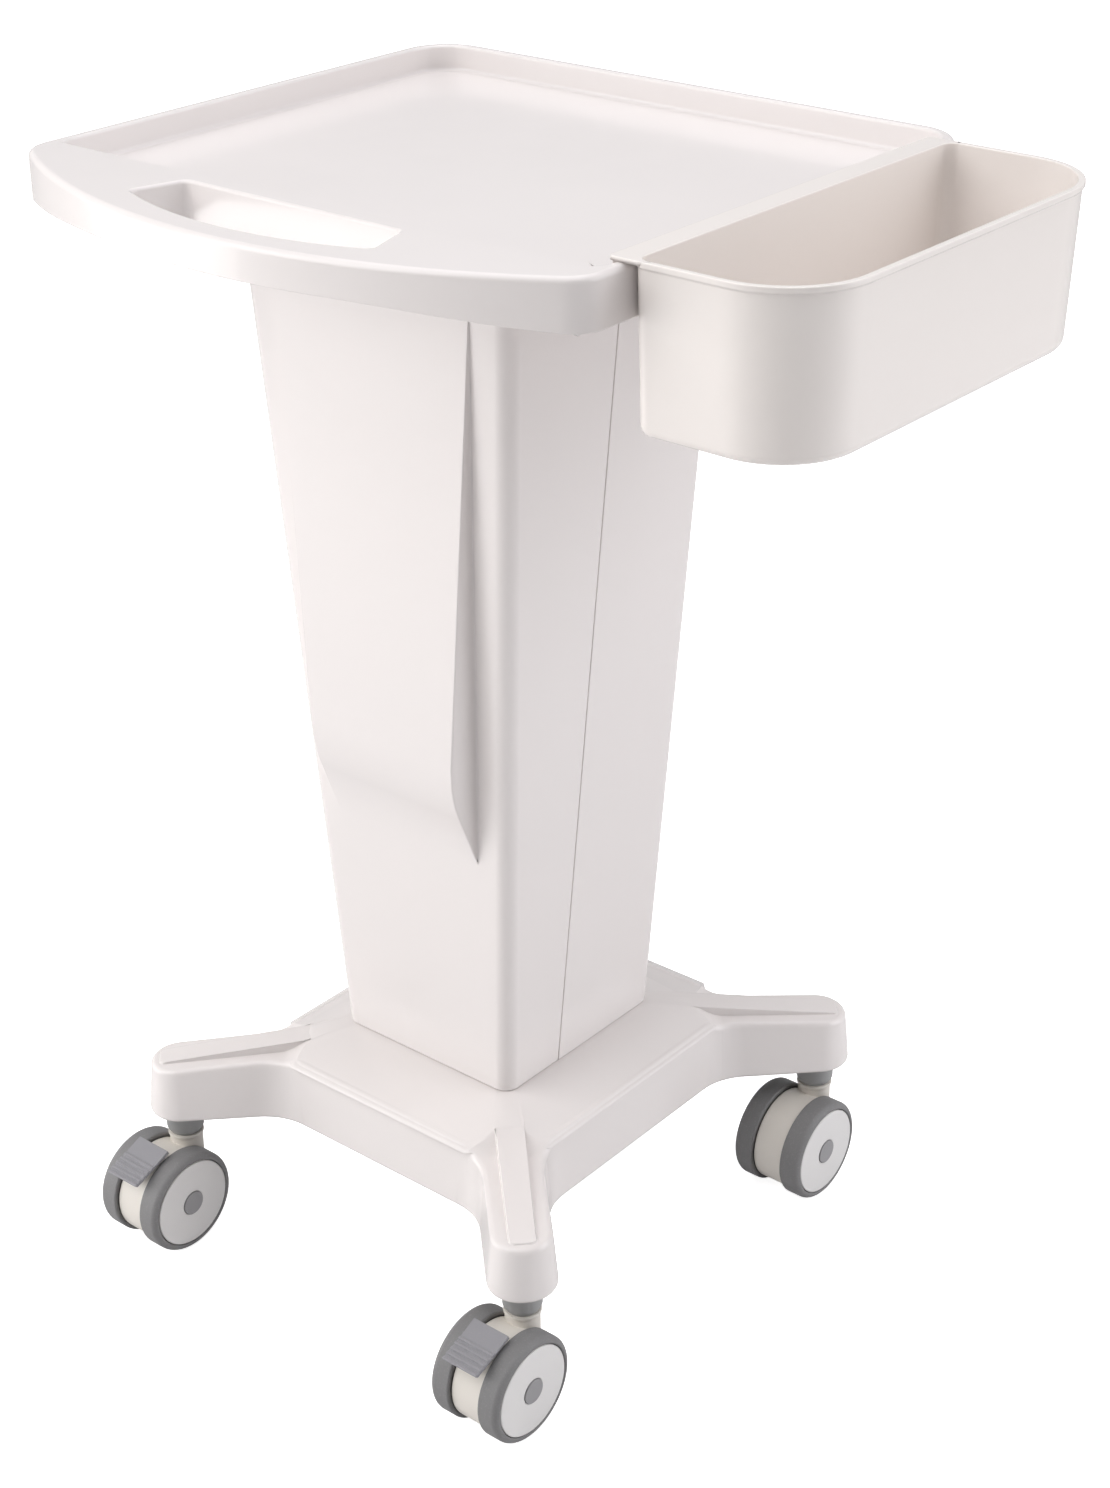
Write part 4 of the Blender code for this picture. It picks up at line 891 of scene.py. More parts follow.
@dataclass
class Column:
    """The tapered column: a front shell with its raised lip-shaped panel, and a rear shell."""

    tray: TrayTop
    foot_height: float = 0.1608
    foot_half: tuple[float, float] = (0.0752, 0.0790)
    top_half: tuple[float, float] = (0.1110, 0.1064)
    forward: float = 0.0035
    corner: float = 0.011
    wall: float = 0.003
    seam_foot: float = -0.0284
    seam_top: float = -0.0014
    seam_gap: float = 0.0004
    panel_top_half: float = 0.0790
    panel_foot_half: float = 0.0612
    panel_draft: float = 0.174          # how much the panel's sides lean in
    panel_drop: float = 0.035
    panel_length: float = 0.326
    panel_chamfer: float = 0.059
    panel_proud: float = 0.0215
    panel_lip_round: float = 0.020      # half length of the soft bend at the panel's lip
    panel_lip_steps: int = 8
    front_round: float = 0.0012
    rear_round: float = 0.0005

    @property
    def top_height(self) -> float:
        """The column's upper edge, just under the tray's floor."""
        return self.tray.top - self.tray.recess_depth - self.tray.wall - GAP

    def form(self, inset: float, past: float) -> BMesh:
        """The column's tapered form, drawn in by a wall and run past both ends."""
        levels = []
        length = self.top_height - self.foot_height
        for height in (self.foot_height - past, self.top_height + past):
            share = (height - self.foot_height) / length
            x = self.foot_half[0] + (self.top_half[0] - self.foot_half[0]) * share - inset
            y = self.foot_half[1] + (self.top_half[1] - self.foot_half[1]) * share - inset
            plan = rectangle((-x, -y - self.forward), (x, y - self.forward), self.corner - inset,
                             self.corner - inset)
            levels.append((plan, height))
        return stack(levels)

    def half(self, shell: Shell) -> BMesh:
        """The column's solid on one side of the leaning seam."""
        mesh = self.form(0.0, 0.0)
        lean = (self.seam_top - self.seam_foot) / (self.top_height - self.foot_height)
        normal = Vector((0.0, 1.0, -lean)).normalized() * shell.value
        point = Vector((0.0, self.seam_foot, self.foot_height)) + normal * (self.seam_gap / 2.0)
        cut = bmesh.ops.bisect_plane(mesh, geom=mesh.verts[:] + mesh.edges[:] + mesh.faces[:],
                                     plane_co=point, plane_no=normal, clear_inner=True)["geom_cut"]
        bmesh.ops.contextual_create(mesh, geom=[part for part in cut if isinstance(part, BMEdge)])
        bmesh.ops.recalc_face_normals(mesh, faces=mesh.faces)
        return mesh

    def panel(self, inset: float) -> BMesh:
        """The raised panel: flush at its top, furthest out at its lip and back again at its foot."""
        length = self.top_height - self.foot_height
        top = self.top_height - self.panel_drop
        lip = top - self.panel_length
        foot = lip - self.panel_chamfer

        def face(height: float) -> float:
            """The column's front face at a height."""
            share = (height - self.foot_height) / length
            return -self.forward - self.foot_half[1] - (self.top_half[1] - self.foot_half[1]) * share + inset

        crown, nose, heel = (Vector((face(top), top)), Vector((face(lip) - self.panel_proud, lip)),
                             Vector((face(foot), foot)))
        above = nose + (crown - nose).normalized() * self.panel_lip_round
        below = nose + (heel - nose).normalized() * self.panel_lip_round
        bend = [above * (1.0 - t) ** 2 + nose * (2.0 * t * (1.0 - t)) + below * t ** 2
                for t in (step / self.panel_lip_steps for step in range(self.panel_lip_steps + 1))]
        behind = self.wall / 2.0
        profile = [tuple(crown), *(tuple(point) for point in bend), tuple(heel),
                   (heel.x + behind, foot), (crown.x + behind, top)]
        mesh = prism(profile, -1.0, 1.0, Axis.X)    # one wide each way, for the loop to scale
        for vert in mesh.verts:
            share = (vert.co.z - foot) / (top - foot)
            half = self.panel_foot_half + (self.panel_top_half - self.panel_foot_half) * share - inset
            vert.co.x *= half - self.panel_draft * max(0.0, face(vert.co.z) - vert.co.y)
        return mesh

    def build(self, dresser: Dresser) -> None:
        """Make the two shells."""
        front = combine(self.half(Shell.FRONT), (Operation.JOIN, self.panel(0.0)),
                        (Operation.CUT, self.form(self.wall, PAST)), (Operation.CUT, self.panel(self.wall)))
        rear = combine(self.half(Shell.REAR), (Operation.CUT, self.form(self.wall, PAST)))
        dresser.piece("column_front_moulding", front, "column_front_shell", WHITE_PLASTIC, self.front_round)
        dresser.piece("column_rear_moulding", rear, "column_rear_shell", WHITE_PLASTIC, self.rear_round)


# Base

@dataclass
class BaseCover:
    """The base cover: a hub that rises to the column and four arms with a raised middle band."""

    column: Column
    bottom: float = 0.097
    wall: float = 0.003
    half_x: float = 0.122
    half_y: float = 0.1335
    edge_height: float = 0.147
    top: float = 0.1605
    draft: float = 0.003
    arm_half_width: float = 0.0235
    arm_fillet: float = 0.045
    arm_tip: float = 0.96               # radius of an arm's end corners, in half widths of the arm
    shoulder_height: float = 0.1372
    shoulder_rise: float = 0.0058
    shoulder_start: float = 0.133
    shoulder_ramp: float = 0.021
    ramp_top: float = 0.1555
    ramp_blend: float = 0.004           # half length of the soft bends above and below the ramp
    blend_samples: int = 3              # heights averaged on either side of each point of a bend
    band_half_width: float = 0.0095
    band_taper: float = 0.94            # a band's width at its end, as a share of that at its root
    band_end: float = 0.014
    band_corner: float = 0.004
    band_overlap: float = 0.006
    band_root_height: float = 0.1535
    band_tip_height: float = 0.139
    band_side: float = 0.0025           # edges this far below a band's top at its end still count
    band_round: float = 0.0007
    band_sharpest: float = 24.0         # degrees past which a band's edge is rounded
    near: float = 0.0001                # how close an edge has to be to a band's sides
    shelf: float = 0.006                # from the form's upper edge in to the rise's foot
    rise_corner: float = 0.02
    rise_sink: float = 0.003            # how deep the rise's foot is buried in the form
    rise_crease: float = 8.0            # degrees past which the rise's edges are softened
    rise_foot_margin: float = 0.001     # edges this far below the form's top are softened too
    rise_crown_margin: float = 0.0005   # edges this near the crown stay sharp
    cut_top: float = 0.0002             # how far the rise's cut runs below the ramp at its top
    cut_foot: float = 0.0006            # and at its foot
    room_corner: float = 0.08
    edge: float = 0.004
    foot_round: float = 0.0035
    passage: float = 0.062
    passage_corner: float = 0.008
    corner_steps: int = 12              # facets round each corner, edge and crease
    edge_steps: int = 6
    band_steps: int = 8
    crease_steps: int = 3
    caster_x: float = 0.158
    caster_y: float = 0.167

    def plan(self, inset: float) -> Outline:
        """The base's outline: a rectangular hub with four diagonal arms and filleted roots."""
        half_x, half_y, half_width = self.half_x - inset, self.half_y - inset, self.arm_half_width - inset
        slant = half_width * math.sqrt(2.0)
        rise = self.caster_y - self.caster_x
        along = Vector((1.0, 1.0)).normalized()
        across = Vector((along.y, -along.x))
        middle = Vector((self.caster_x, self.caster_y))
        quadrant = [(half_x, half_x + rise - slant, self.arm_fillet)]
        for side in (1, -1):
            corner = middle + along * half_width + across * (side * half_width)
            quadrant.append((corner.x, corner.y, self.arm_tip * half_width))
        quadrant.append((half_y - rise - slant, half_y, self.arm_fillet))
        outline = list(quadrant)
        outline += [(-x, y, r) for x, y, r in reversed(quadrant)]
        outline += [(-x, -y, r) for x, y, r in quadrant]
        outline += [(x, -y, r) for x, y, r in reversed(quadrant)]
        return rounded(outline, self.corner_steps)

    def arm(self, corner: Corner) -> tuple[Vector, Vector]:
        """A caster's axis at the floor and the direction in which its arm runs out."""
        side_x, side_y, _ = corner.value
        return (Vector((side_x * self.caster_x, side_y * self.caster_y, 0.0)),
                Vector((side_x, side_y, 0.0)).normalized())

    def on_arm(self, mesh: BMesh, corner: Corner) -> BMesh:
        """Turn a solid that lies along +X so that it lies along an arm, past the caster's axis."""
        side_x, side_y, _ = corner.value
        place = Matrix.Translation(self.arm(corner)[0])
        bmesh.ops.transform(mesh, matrix=place @ Matrix.Rotation(math.atan2(side_y, side_x), 4, "Z"),
                            verts=mesh.verts)
        return mesh

    def column_plan(self, inset: float) -> Outline:
        """The column's outline where it stands on the hub."""
        x, y = self.column.foot_half[0] - inset, self.column.foot_half[1] - inset
        forward, corner = self.column.forward, self.column.corner
        return rectangle((-x, -y - forward), (x, y - forward), corner, corner)

    @property
    def rise_half(self) -> tuple[float, float]:
        """Half sizes of the rise's foot, across and from front to back."""
        return self.half_x - self.draft - self.shelf, self.half_y - self.draft - self.shelf

    @property
    def ramp_start(self) -> float:
        """Top of an arm's ramp, along the arm from the caster's axis."""
        return self.shoulder_start - math.hypot(self.caster_x, self.caster_y)

    def ledge(self, along: float) -> float:
        """Height of the cover's level top along an arm, from the caster's axis."""
        foot = self.ramp_start + self.shoulder_ramp
        foot_height = self.shoulder_height + self.shoulder_rise
        if along < foot:
            share = (along - self.ramp_start) / self.shoulder_ramp
            return min(self.edge_height, self.ramp_top + (foot_height - self.ramp_top) * share)
        share = (along - foot) / (self.arm_half_width - foot)
        return foot_height + (self.shoulder_height - foot_height) * share

    def lower_arms(self, mesh: BMesh) -> None:
        """Bring the rounded top of the form down to the ledges along each arm."""
        foot = self.ramp_start + self.shoulder_ramp
        blend = self.ramp_blend
        kink = self.ramp_start + self.shoulder_ramp * (self.ramp_top - self.edge_height) / (
            self.ramp_top - self.shoulder_height - self.shoulder_rise)
        stations = [middle + blend * step / 2.0 for middle in (kink, foot) for step in (-2, -1, 0, 1, 2)]
        stations += [foot / 2.0, 0.0]
        arms = [self.arm(corner) for corner in Corner]
        samples = self.blend_samples
        for middle, along in arms:
            for station in stations:
                divide(mesh, middle + along * station, along)
        for vert in mesh.verts:
            if vert.co.z < (self.bottom + self.edge_height) / 2.0:
                continue
            for middle, along in arms:
                station = (vert.co - middle).dot(along)
                if station > kink - 2.0 * blend:
                    level = sum(self.ledge(station + blend * step / samples)
                                for step in range(-samples, samples + 1)) / (2 * samples + 1)
                    vert.co.z += level - self.edge_height

    def on_rise(self, edge: BMEdge) -> bool:
        """Whether an edge is a crease of the rise between its buried foot and its crown."""
        low, high = self.edge_height - self.rise_foot_margin, self.top - self.rise_crown_margin
        return edge.is_convex and crease(edge) > self.rise_crease and all(
            low < vert.co.z < high for vert in edge.verts)

    def rise(self) -> BMesh:
        """The hub's rise to the column, with the ramps cut from its corners."""
        across, deep = self.rise_half
        foot = rectangle((-across, -deep), (across, deep), self.rise_corner, self.rise_corner)
        crown = self.column_plan(0.0)
        share = self.rise_sink / (self.top - self.edge_height)
        buried = [(x + (x - cx) * share, y + (y - cy) * share) for (x, y), (cx, cy) in zip(foot, crown)]
        reach = 2.0 * self.arm_half_width
        under = self.shoulder_height + self.shoulder_rise - self.cut_foot
        cut = [(self.ramp_start, self.top + PAST), (self.ramp_start, self.ramp_top - self.cut_top),
               (self.ramp_start + self.shoulder_ramp, under), (reach, under), (reach, self.top + PAST)]
        steps = [(Operation.CUT, self.on_arm(prism(cut, -reach, reach, Axis.Y), corner))
                 for corner in Corner]
        mesh = combine(stack([(buried, self.edge_height - self.rise_sink), (crown, self.top)]), *steps)
        soften(mesh, self.ramp_blend / 2.0, self.on_rise, self.crease_steps)
        return mesh

    def band(self) -> BMesh:
        """The raised band on an arm, along +X: flat-topped, sloping to a small rounded step."""
        start = self.ramp_start - self.band_overlap
        foot = self.shoulder_height - self.wall / 2.0
        half = self.band_half_width
        corner = self.band_corner
        plan = rounded([(self.band_end, -half * self.band_taper, corner),
                        (self.band_end, half * self.band_taper, corner),
                        (start, half, 0.0), (start, -half, 0.0)], self.band_steps)
        mesh = stack([(plan, foot), (plan, self.band_root_height)])
        for vert in mesh.verts:
            if vert.co.z > self.shoulder_height:
                share = (vert.co.x - start) / (self.band_end - start)
                vert.co.z += (self.band_tip_height - self.band_root_height) * share
        return mesh

    def on_band(self, edge: BMEdge) -> bool:
        """Whether an edge lies on a band's sides, end or top."""
        reach = self.band_half_width + self.near
        for middle, along in (self.arm(corner) for corner in Corner):
            offsets = [vert.co - middle for vert in edge.verts]
            if all(self.ramp_start < offset.dot(along) < self.band_end + self.near
                   and abs(offset.x * along.y - offset.y * along.x) < reach
                   and offset.z > self.band_tip_height - self.band_side for offset in offsets):
                return True
        return False

    def solid(self) -> BMesh:
        """The whole cover as one solid."""
        round_foot = [(self.plan(self.foot_round - rise), self.bottom + come)
                      for come, rise in quarter(self.foot_round)]
        round_top = [(self.plan(self.draft + come), self.edge_height - self.edge + rise)
                     for come, rise in quarter(self.edge, self.edge_steps)]
        form = stack(round_foot + round_top)
        self.lower_arms(form)
        steps = [(Operation.JOIN, self.rise())]
        steps += [(Operation.JOIN, self.on_arm(self.band(), corner)) for corner in Corner]
        inner = self.wall + self.foot_round
        hollow = [(self.plan(inner), self.bottom - PAST)]
        hollow += [(self.plan(inner - rise), self.bottom + come) for come, rise in quarter(self.foot_round)]
        hollow.append((self.plan(self.wall + self.draft), self.shoulder_height - self.wall))
        room_x, room_y = (half - self.wall for half in self.rise_half)
        room_plan = rectangle((-room_x, -room_y), (room_x, room_y), self.room_corner, self.room_corner)
        room = stack([(room_plan, self.shoulder_height - self.wall - PAST),
                      (room_plan, self.edge_height - self.wall),
                      (self.column_plan(self.wall), self.top - self.wall)])
        half = self.passage / 2.0
        passage = prism(rectangle((-half, -half), (half, half), self.passage_corner, self.passage_corner),
                        self.shoulder_height - self.wall - PAST, self.top + PAST)
        steps += [(Operation.CUT, stack(hollow)), (Operation.CUT, room), (Operation.CUT, passage)]
        return combine(form, *steps)

    def build(self, dresser: Dresser) -> None:
        """Make the cover's one moulding; only the bands still have sharp edges to round."""
        dresser.piece("base_moulding", self.solid(), "base_cover", WHITE_PLASTIC, self.band_round,
                      self.band_sharpest, keep=lambda edge: not self.on_band(edge))


# Casters

@dataclass
class Caster:
    """One twin-wheel caster, trailing forwards, with a brake pedal on the front ones."""

    base: BaseCover
    corner: Corner
    wheel_radius: float = 0.0375
    outer: float = 0.0284               # a wheel's outer face, from the caster's middle
    inner: float = 0.0125
    trail: float = 0.0235
    round_steps: int = 96               # facets round the wheels and the drum
    turned_steps: int = 64              # round the collar, the neck and the caps
    bore_steps: int = 32                # round the bores, the lug and the pedal's eyes
    pin_steps: int = 24
    shoulder_steps: int = 8             # across a tyre's outer shoulder
    inner_steps: int = 4                # and across its inner edge
    hair: float = 0.0002                # fine step of a turned profile
    nick: float = 0.0003                # small chamfer of a turned rim
    chamfer: float = 0.0004
    disc_radius: float = 0.0321
    disc_edge: float = 0.0008
    shoulder: float = 0.0045
    tyre_lip: float = 0.0008
    tyre_edge: float = 0.0012
    cap_radius: float = 0.0088
    cap_thickness: float = 0.0020
    cap_seat: float = 0.0015
    cap_side: float = 0.0005            # height of the cap's rounded side
    cap_round: float = 0.0007           # how far its rim rounds in
    axle_radius: float = 0.004
    drum_radius: float = 0.0345
    drum_half_width: float = 0.0120
    drum_edge: float = 0.0012
    housing_round: float = 0.0004
    neck_radius: float = 0.0127
    neck_shoulder: float = 0.0750
    neck_step: float = 0.0007
    collar_radius: float = 0.0133
    collar_bottom: float = 0.0778
    collar_taper: float = 0.0018
    collar_edge: float = 0.0006
    collar_swell: float = 1.7           # height above the foot, in tapers, where the ring is nearly full
    collar_full: float = 2.3            # and where it is full
    stem_radius: float = 0.0055
    stem_bore: float = 0.026
    pedal_half_width: float = 0.0145
    pedal_thickness: float = 0.0028
    pedal_length: float = 0.0345
    pedal_slope: float = math.radians(20.0)
    pedal_back: float = 0.031
    pedal_height: float = 0.0802
    pedal_ribs: int = 5
    pedal_rib_pitch: float = 0.0042
    pedal_rib_height: float = 0.0009
    pedal_groove: float = 0.35          # a groove's floor, in rib pitches
    pedal_rib_start: float = 0.5        # where the next rib's top starts
    pedal_rib_end: float = 0.9          # and where it ends
    pedal_lean: float = 0.5             # how far the front end leans back, in thicknesses
    pedal_round: float = 0.0003
    pedal_sharpest: float = 30.0
    pivot_back: float = 0.0345
    pivot_height: float = 0.0732
    eye_radius: float = 0.0025
    eye_thickness: float = 0.0026
    eye_drop: float = 0.4               # how far an eye's web reaches below the pin, in eye radii
    eye_web: float = 0.9                # how far it reaches back, in eye radii
    lug_half_width: float = 0.0045
    lug_radius: float = 0.0021
    pin_radius: float = 0.0011
    axis: Vector = field(init=False)

    def __post_init__(self) -> None:
        """Find the swivel axis."""
        self.axis = self.base.arm(self.corner)[0]

    @property
    def hub(self) -> Vector:
        """The wheels' middle."""
        return self.axis + Vector((0.0, -self.trail, self.wheel_radius))

    @property
    def pivot(self) -> Vector:
        """The pedal's pin."""
        return self.axis + Vector((0.0, -self.pivot_back, self.pivot_height))

    def name(self, piece: str) -> str:
        """A CAD node's name on this caster."""
        return f"caster_{self.corner.label}_{piece}"

    def collar(self) -> BMesh:
        """The grey collar under the arm, a ring with a tapered foot."""
        top = self.base.bottom + GAP
        bore = self.stem_radius + GAP
        foot = self.collar_bottom
        radius, taper = self.collar_radius, self.collar_taper
        profile = [(bore, foot), (radius - taper - self.chamfer, foot),
                   (radius - taper, foot + self.chamfer),
                   (radius - self.nick, foot + self.collar_swell * taper),
                   (radius, foot + self.collar_full * taper),
                   (radius, top - self.collar_edge), (radius - self.collar_edge, top), (bore, top)]
        return turned(profile, self.turned_steps, Axis.Z, self.axis)

    def body(self) -> BMesh:
        """The creamy housing between the wheels, with its neck and, on a braked caster, its lug."""
        top = self.collar_bottom - GAP
        drum = rod(self.drum_radius, -self.drum_half_width, self.drum_half_width, Axis.X, self.hub,
                   self.round_steps, self.drum_edge)
        slim, full = self.drum_half_width - self.hair, self.neck_radius
        step = self.neck_shoulder
        neck = turned([(0.0, self.wheel_radius), (slim, self.wheel_radius), (slim, step - self.neck_step),
                       (full - self.hair, step - self.hair / 2.0), (full, step + self.chamfer),
                       (full, top - self.chamfer), (full - self.chamfer, top), (0.0, top)],
                      self.turned_steps, Axis.Z, self.axis, closed=False)
        steps = [(Operation.JOIN, neck)]
        if self.corner.braked:
            pivot = self.pivot
            steps.append((Operation.JOIN, box(
                (pivot.x - self.lug_half_width, pivot.y - self.lug_radius, self.wheel_radius),
                (pivot.x + self.lug_half_width, pivot.y + self.lug_radius, pivot.z))))
            steps.append((Operation.JOIN, rod(self.lug_radius, -self.lug_half_width, self.lug_half_width,
                                              Axis.X, pivot, self.bore_steps)))
            steps.append((Operation.CUT, rod(self.pin_radius + GAP, -self.drum_half_width,
                                             self.drum_half_width, Axis.X, pivot, self.pin_steps)))
        steps.append((Operation.CUT, rod(self.stem_radius + GAP, top - self.stem_bore, top + PAST, Axis.Z,
                                         self.axis, self.bore_steps)))
        reach = self.drum_half_width + PAST
        steps.append((Operation.CUT, rod(self.axle_radius + GAP, -reach, reach, Axis.X, self.hub,
                                         self.bore_steps)))
        return combine(drum, *steps)

    def wheel_part(self, profile: Outline, side: Side, steps: int, closed: bool = True) -> BMesh:
        """A solid turned about the axle on one side of the caster, from (radius, distance out) points."""
        return turned([(r, side.value * d) for r, d in profile], steps, Axis.X, self.hub, closed)

    def tyre(self, side: Side) -> BMesh:
        """A tyre with a full outer shoulder and a small inner edge."""
        bead = self.disc_radius + GAP
        radius = self.wheel_radius
        lip = self.outer - self.tyre_lip
        profile = [(bead, lip - self.chamfer), (bead + self.nick, lip)]
        profile += [(radius - self.shoulder + rise, self.outer - come)
                    for come, rise in quarter(self.shoulder, self.shoulder_steps)]
        profile.append((radius, self.inner + self.tyre_edge + self.hair))
        profile += [(radius - self.tyre_edge + rise, self.inner + come)
                    for come, rise in reversed(quarter(self.tyre_edge, self.inner_steps))]
        profile.append((bead, self.inner))
        return self.wheel_part(profile, side, self.round_steps)

    def disc(self, side: Side) -> BMesh:
        """The creamy wheel disc: a flat face with a chamfered rim and a seat for the cap."""
        bore, seat = self.axle_radius + GAP, self.cap_radius + GAP
        edge, face = self.disc_radius, self.outer
        profile = [(seat, face - self.hair), (seat + self.nick, face), (edge - self.disc_edge, face),
                   (edge, face - self.disc_edge), (edge, self.inner), (bore, self.inner),
                   (bore, face - self.cap_seat), (seat, face - self.cap_seat)]
        return self.wheel_part(profile, side, self.round_steps)

    def cap(self, side: Side) -> BMesh:
        """The grey hub cap, a shallow button."""
        low = self.outer - self.cap_seat + GAP
        high = low + self.cap_thickness
        radius = self.cap_radius
        profile = [(0.0, low), (radius, low), (radius, high - self.cap_side),
                   (radius - self.hair, high - self.hair / 2.0), (radius - self.cap_round, high), (0.0, high)]
        return self.wheel_part(profile, side, self.turned_steps, closed=False)

    def pedal(self) -> BMesh:
        """The brake pedal with its grip ribs and two eyes."""
        rear = Vector((-self.pedal_back, self.pedal_height)) - Vector((-self.pivot_back, self.pivot_height))
        forward = Vector((-math.cos(self.pedal_slope), -math.sin(self.pedal_slope)))
        upward = Vector((-math.sin(self.pedal_slope), math.cos(self.pedal_slope)))

        def at(distance: float, lift: float) -> tuple[float, float]:
            """A point of the side view, measured along the pedal's top face and above it."""
            point = rear + forward * distance + upward * lift
            return (point.x, point.y)

        low, pitch, length = -self.pedal_rib_height, self.pedal_rib_pitch, self.pedal_length
        outline = [at(0.0, -self.pedal_thickness), at(0.0, 0.0)]
        for rib in range(self.pedal_ribs):
            start = length - (self.pedal_ribs - rib) * pitch
            outline += [at(start, low), at(start + self.pedal_groove * pitch, low),
                        at(start + self.pedal_rib_start * pitch, 0.0),
                        at(start + self.pedal_rib_end * pitch, 0.0)]
        outline += [at(length, low),
                    at(length - self.pedal_lean * self.pedal_thickness, -self.pedal_thickness)]
        plate = prism(outline, -self.pedal_half_width, self.pedal_half_width, Axis.X)
        steps = []
        inner = self.lug_half_width + GAP
        outer = inner + self.eye_thickness
        for side in Side:
            span = sorted((side.value * inner, side.value * outer))
            steps.append((Operation.JOIN, box(
                (span[0], -self.eye_radius, -self.eye_drop * self.eye_radius),
                (span[1], self.eye_radius * self.eye_web, rear.y - self.pedal_thickness))))
            steps.append((Operation.JOIN, rod(self.eye_radius, *span, Axis.X, (0.0, 0.0, 0.0),
                                              self.bore_steps)))
        steps.append((Operation.CUT, rod(self.pin_radius + GAP, -self.pedal_half_width,
                                         self.pedal_half_width, Axis.X, (0.0, 0.0, 0.0), self.pin_steps)))
        mesh = combine(plate, *steps)
        bmesh.ops.translate(mesh, vec=self.pivot, verts=mesh.verts)
        return mesh

    def build(self, dresser: Dresser) -> None:
        """Make every visible piece of the caster."""
        label = self.corner.label
        dresser.piece(f"{label}_collar_ring", self.collar(), self.name("collar"), COLLAR_PLASTIC, 0.0)
        dresser.piece(f"{label}_housing", self.body(), self.name("body"), HOUSING_PLASTIC,
                      self.housing_round)
        for side in Side:
            word = side.name.lower()
            dresser.piece(f"{label}_{word}_tread", self.tyre(side), self.name(f"tyre_{word}"),
                          TYRE_RUBBER, 0.0)
            dresser.piece(f"{label}_{word}_wheel", self.disc(side), self.name(f"disc_{word}"),
                          DISC_PLASTIC, 0.0)
            dresser.piece(f"{label}_{word}_button", self.cap(side), self.name(f"cap_{word}"),
                          CAP_PLASTIC, 0.0)
        if self.corner.braked:
            dresser.piece(f"{label}_brake_pedal", self.pedal(), self.name("pedal"), PEDAL_PLASTIC,
                          self.pedal_round, self.pedal_sharpest)


# Studio

WARM: Colour = (1.0, 0.99, 0.98)
COOL: Colour = (0.98, 0.98, 1.0)
SKY_BLUE: Colour = (0.96, 0.96, 1.0)


@dataclass(frozen=True)
class SoftBox:
    """A large soft studio light that faces a point of the trolley."""

    name: str
    place: tuple[float, float, float]
    size: tuple[float, float]
    power: float
    colour: Colour
    aim: tuple[float, float, float] = (0.0, 0.0, 0.42)

    def build(self) -> None:
        """Put the light in the scene."""
        data = bpy.data.lights.new(self.name, "AREA")
        data.shape = "RECTANGLE"
        data.size, data.size_y = self.size
        data.energy = self.power
        data.color = self.colour
        lamp = bpy.data.objects.new(self.name, data)
        lamp.location = self.place
        lamp.rotation_euler = (Vector(self.aim) - Vector(self.place)).to_track_quat("-Z", "Y").to_euler()
        bpy.context.scene.collection.objects.link(lamp)


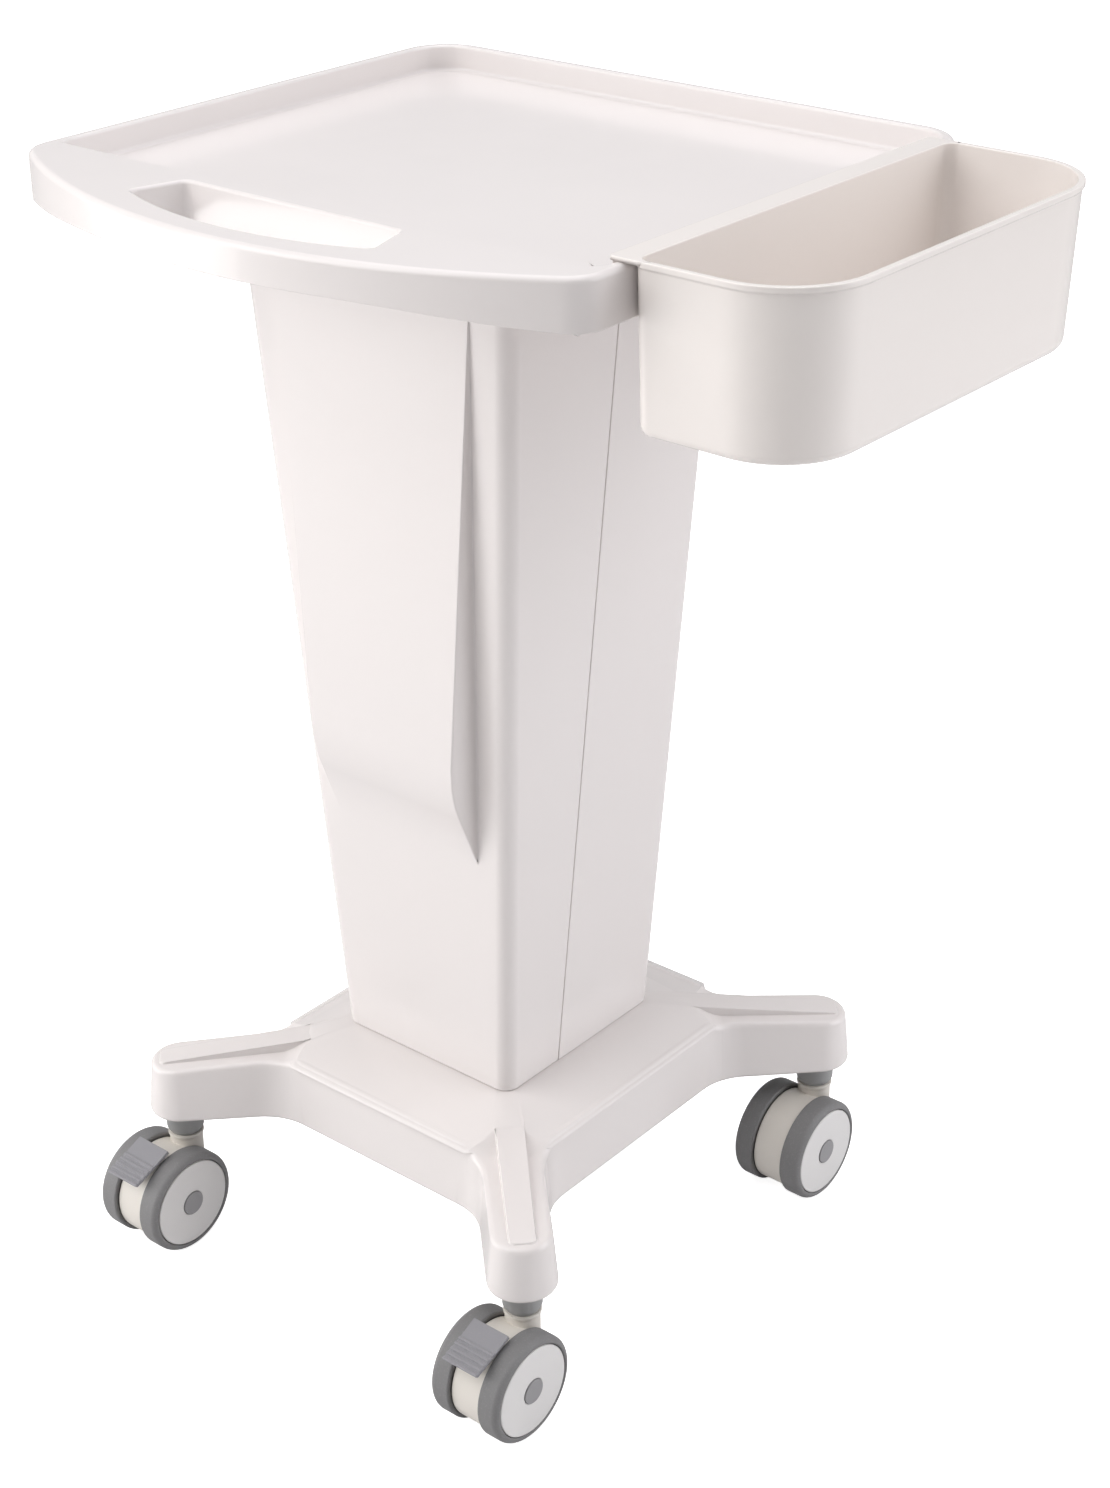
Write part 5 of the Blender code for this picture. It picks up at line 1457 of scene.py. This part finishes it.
@dataclass
class Studio:
    """The pale floor, the soft lights and the camera at the photograph's angle."""

    floor_half: float = 30.0
    floor_colour: Colour = (0.80, 0.795, 0.80)
    floor_roughness: float = 0.9
    floor_specular: float = 0.1
    floor_glow: float = 0.85            # seen by the camera alone, so that it doesn't light the trolley
    backdrop: float = 1.0               # the sky that the camera sees past the floor's edge
    sky_colour: Colour = (1.0, 0.995, 1.0)
    sky_full: float = 0.45
    sky_dim: float = 0.02               # towards the camera, where the studio is dark
    dim_azimuth: float = 40.0           # degrees from the trolley's front towards its right side
    dim_span: tuple[float, float] = (0.2, 0.9)      # cosines to that side, from full sky to dim
    camera_place: tuple[float, float, float] = (0.97815, -1.17028, 1.17859)
    camera_aim: tuple[float, float, float] = (0.00115, 0.0080, 0.3936)
    camera_roll: float = -0.453
    lens: float = 63.33
    sensor: float = 36.0
    lights: tuple[SoftBox, ...] = (
        SoftBox("key_box", (-0.9, -1.9, 2.0), (2.0, 2.0), 30.0, WARM),
        SoftBox("left_box", (-1.7, -1.9, 1.4), (1.6, 2.2), 6.0, WARM),
        SoftBox("low_box", (-1.9, -1.4, 0.5), (1.6, 1.0), 16.0, WARM),
        SoftBox("right_box", (1.8, 1.0, 1.1), (1.6, 2.0), 24.0, COOL),
        SoftBox("top_box", (-0.1, 0.4, 2.6), (2.4, 2.0), 18.0, SKY_BLUE),
        SoftBox("front_box", (0.3, -1.2, 2.6), (2.0, 1.6), 9.0, COOL),
    )

    def floor(self) -> None:
        """The plain pale floor."""
        mesh = bmesh.new()
        bmesh.ops.create_grid(mesh, x_segments=1, y_segments=1, size=self.floor_half)
        obj = to_object("studio_floor", mesh)
        made = bpy.data.materials.new("studio_floor")
        made.use_nodes = True
        shader = made.node_tree.nodes["Principled BSDF"]
        shader.inputs["Base Color"].default_value = (*self.floor_colour, 1.0)
        shader.inputs["Roughness"].default_value = self.floor_roughness
        shader.inputs["Specular IOR Level"].default_value = self.floor_specular
        shader.inputs["Emission Color"].default_value = (1.0, 1.0, 1.0, 1.0)
        tree = made.node_tree
        seen = tree.nodes.new("ShaderNodeMath")
        seen.operation = "MULTIPLY"
        seen.inputs[1].default_value = self.floor_glow
        tree.links.new(tree.nodes.new("ShaderNodeLightPath").outputs["Is Camera Ray"], seen.inputs[0])
        tree.links.new(seen.outputs["Value"], shader.inputs["Emission Strength"])
        obj.data.materials.append(made)

    def sky_light(self) -> None:
        """The soft light of a white studio, dimmer towards the camera's side."""
        world = bpy.data.worlds.new("studio")
        world.use_nodes = True
        tree = world.node_tree
        back = tree.nodes["Background"]
        back.inputs["Color"].default_value = (*self.sky_colour, 1.0)
        turn = math.radians(self.dim_azimuth)
        facing = tree.nodes.new("ShaderNodeVectorMath")
        facing.operation = "DOT_PRODUCT"
        facing.inputs[1].default_value = (math.sin(turn), -math.cos(turn), 0.0)
        tree.links.new(tree.nodes.new("ShaderNodeTexCoord").outputs["Generated"], facing.inputs[0])
        level = ranged(tree, facing.outputs["Value"], self.dim_span, (self.sky_full, self.sky_dim))
        seen = tree.nodes.new("ShaderNodeMix")
        seen.inputs["B"].default_value = self.backdrop
        tree.links.new(tree.nodes.new("ShaderNodeLightPath").outputs["Is Camera Ray"], seen.inputs["Factor"])
        tree.links.new(level, seen.inputs["A"])
        tree.links.new(seen.outputs["Result"], back.inputs["Strength"])
        bpy.context.scene.world = world

    def camera(self) -> None:
        """The camera, fitted to the photograph."""
        data = bpy.data.cameras.new("camera")
        data.sensor_fit = "AUTO"
        data.sensor_width = self.sensor
        data.lens = self.lens
        camera = bpy.data.objects.new("camera", data)
        place, aim = Vector(self.camera_place), Vector(self.camera_aim)
        camera.location = place
        camera.rotation_mode = "QUATERNION"
        look = (aim - place).normalized().to_track_quat("-Z", "Y")
        camera.rotation_quaternion = look @ Quaternion((0.0, 0.0, 1.0), math.radians(self.camera_roll))
        bpy.context.scene.collection.objects.link(camera)
        bpy.context.scene.camera = camera

    def build(self) -> None:
        """Set up the whole studio."""
        self.camera()
        self.floor()
        self.sky_light()
        for light in self.lights:
            light.build()
        bpy.context.scene.view_settings.view_transform = "Standard"
        LOG.info("studio: %d soft boxes", len(self.lights))


def corners(bounds: tuple[Vector, Vector]) -> list[list[float]]:
    """A box as plain lists of numbers."""
    return [list(corner) for corner in bounds]


def main() -> None:
    """Build the trolley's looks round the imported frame."""
    logging.basicConfig(level=logging.INFO, format="%(name)s: %(message)s")
    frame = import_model()
    Studio().build()
    dresser = Dresser(frame)
    tray = TrayTop()
    column = Column(tray)
    base = BaseCover(column)
    tray.build(dresser)
    SideBin(tray).build(dresser)
    column.build(dresser)
    base.build(dresser)
    for corner in Corner:
        Caster(base, corner).build(dresser)
    dresser.dress_nodes()


if __name__ == "__main__":
    main()
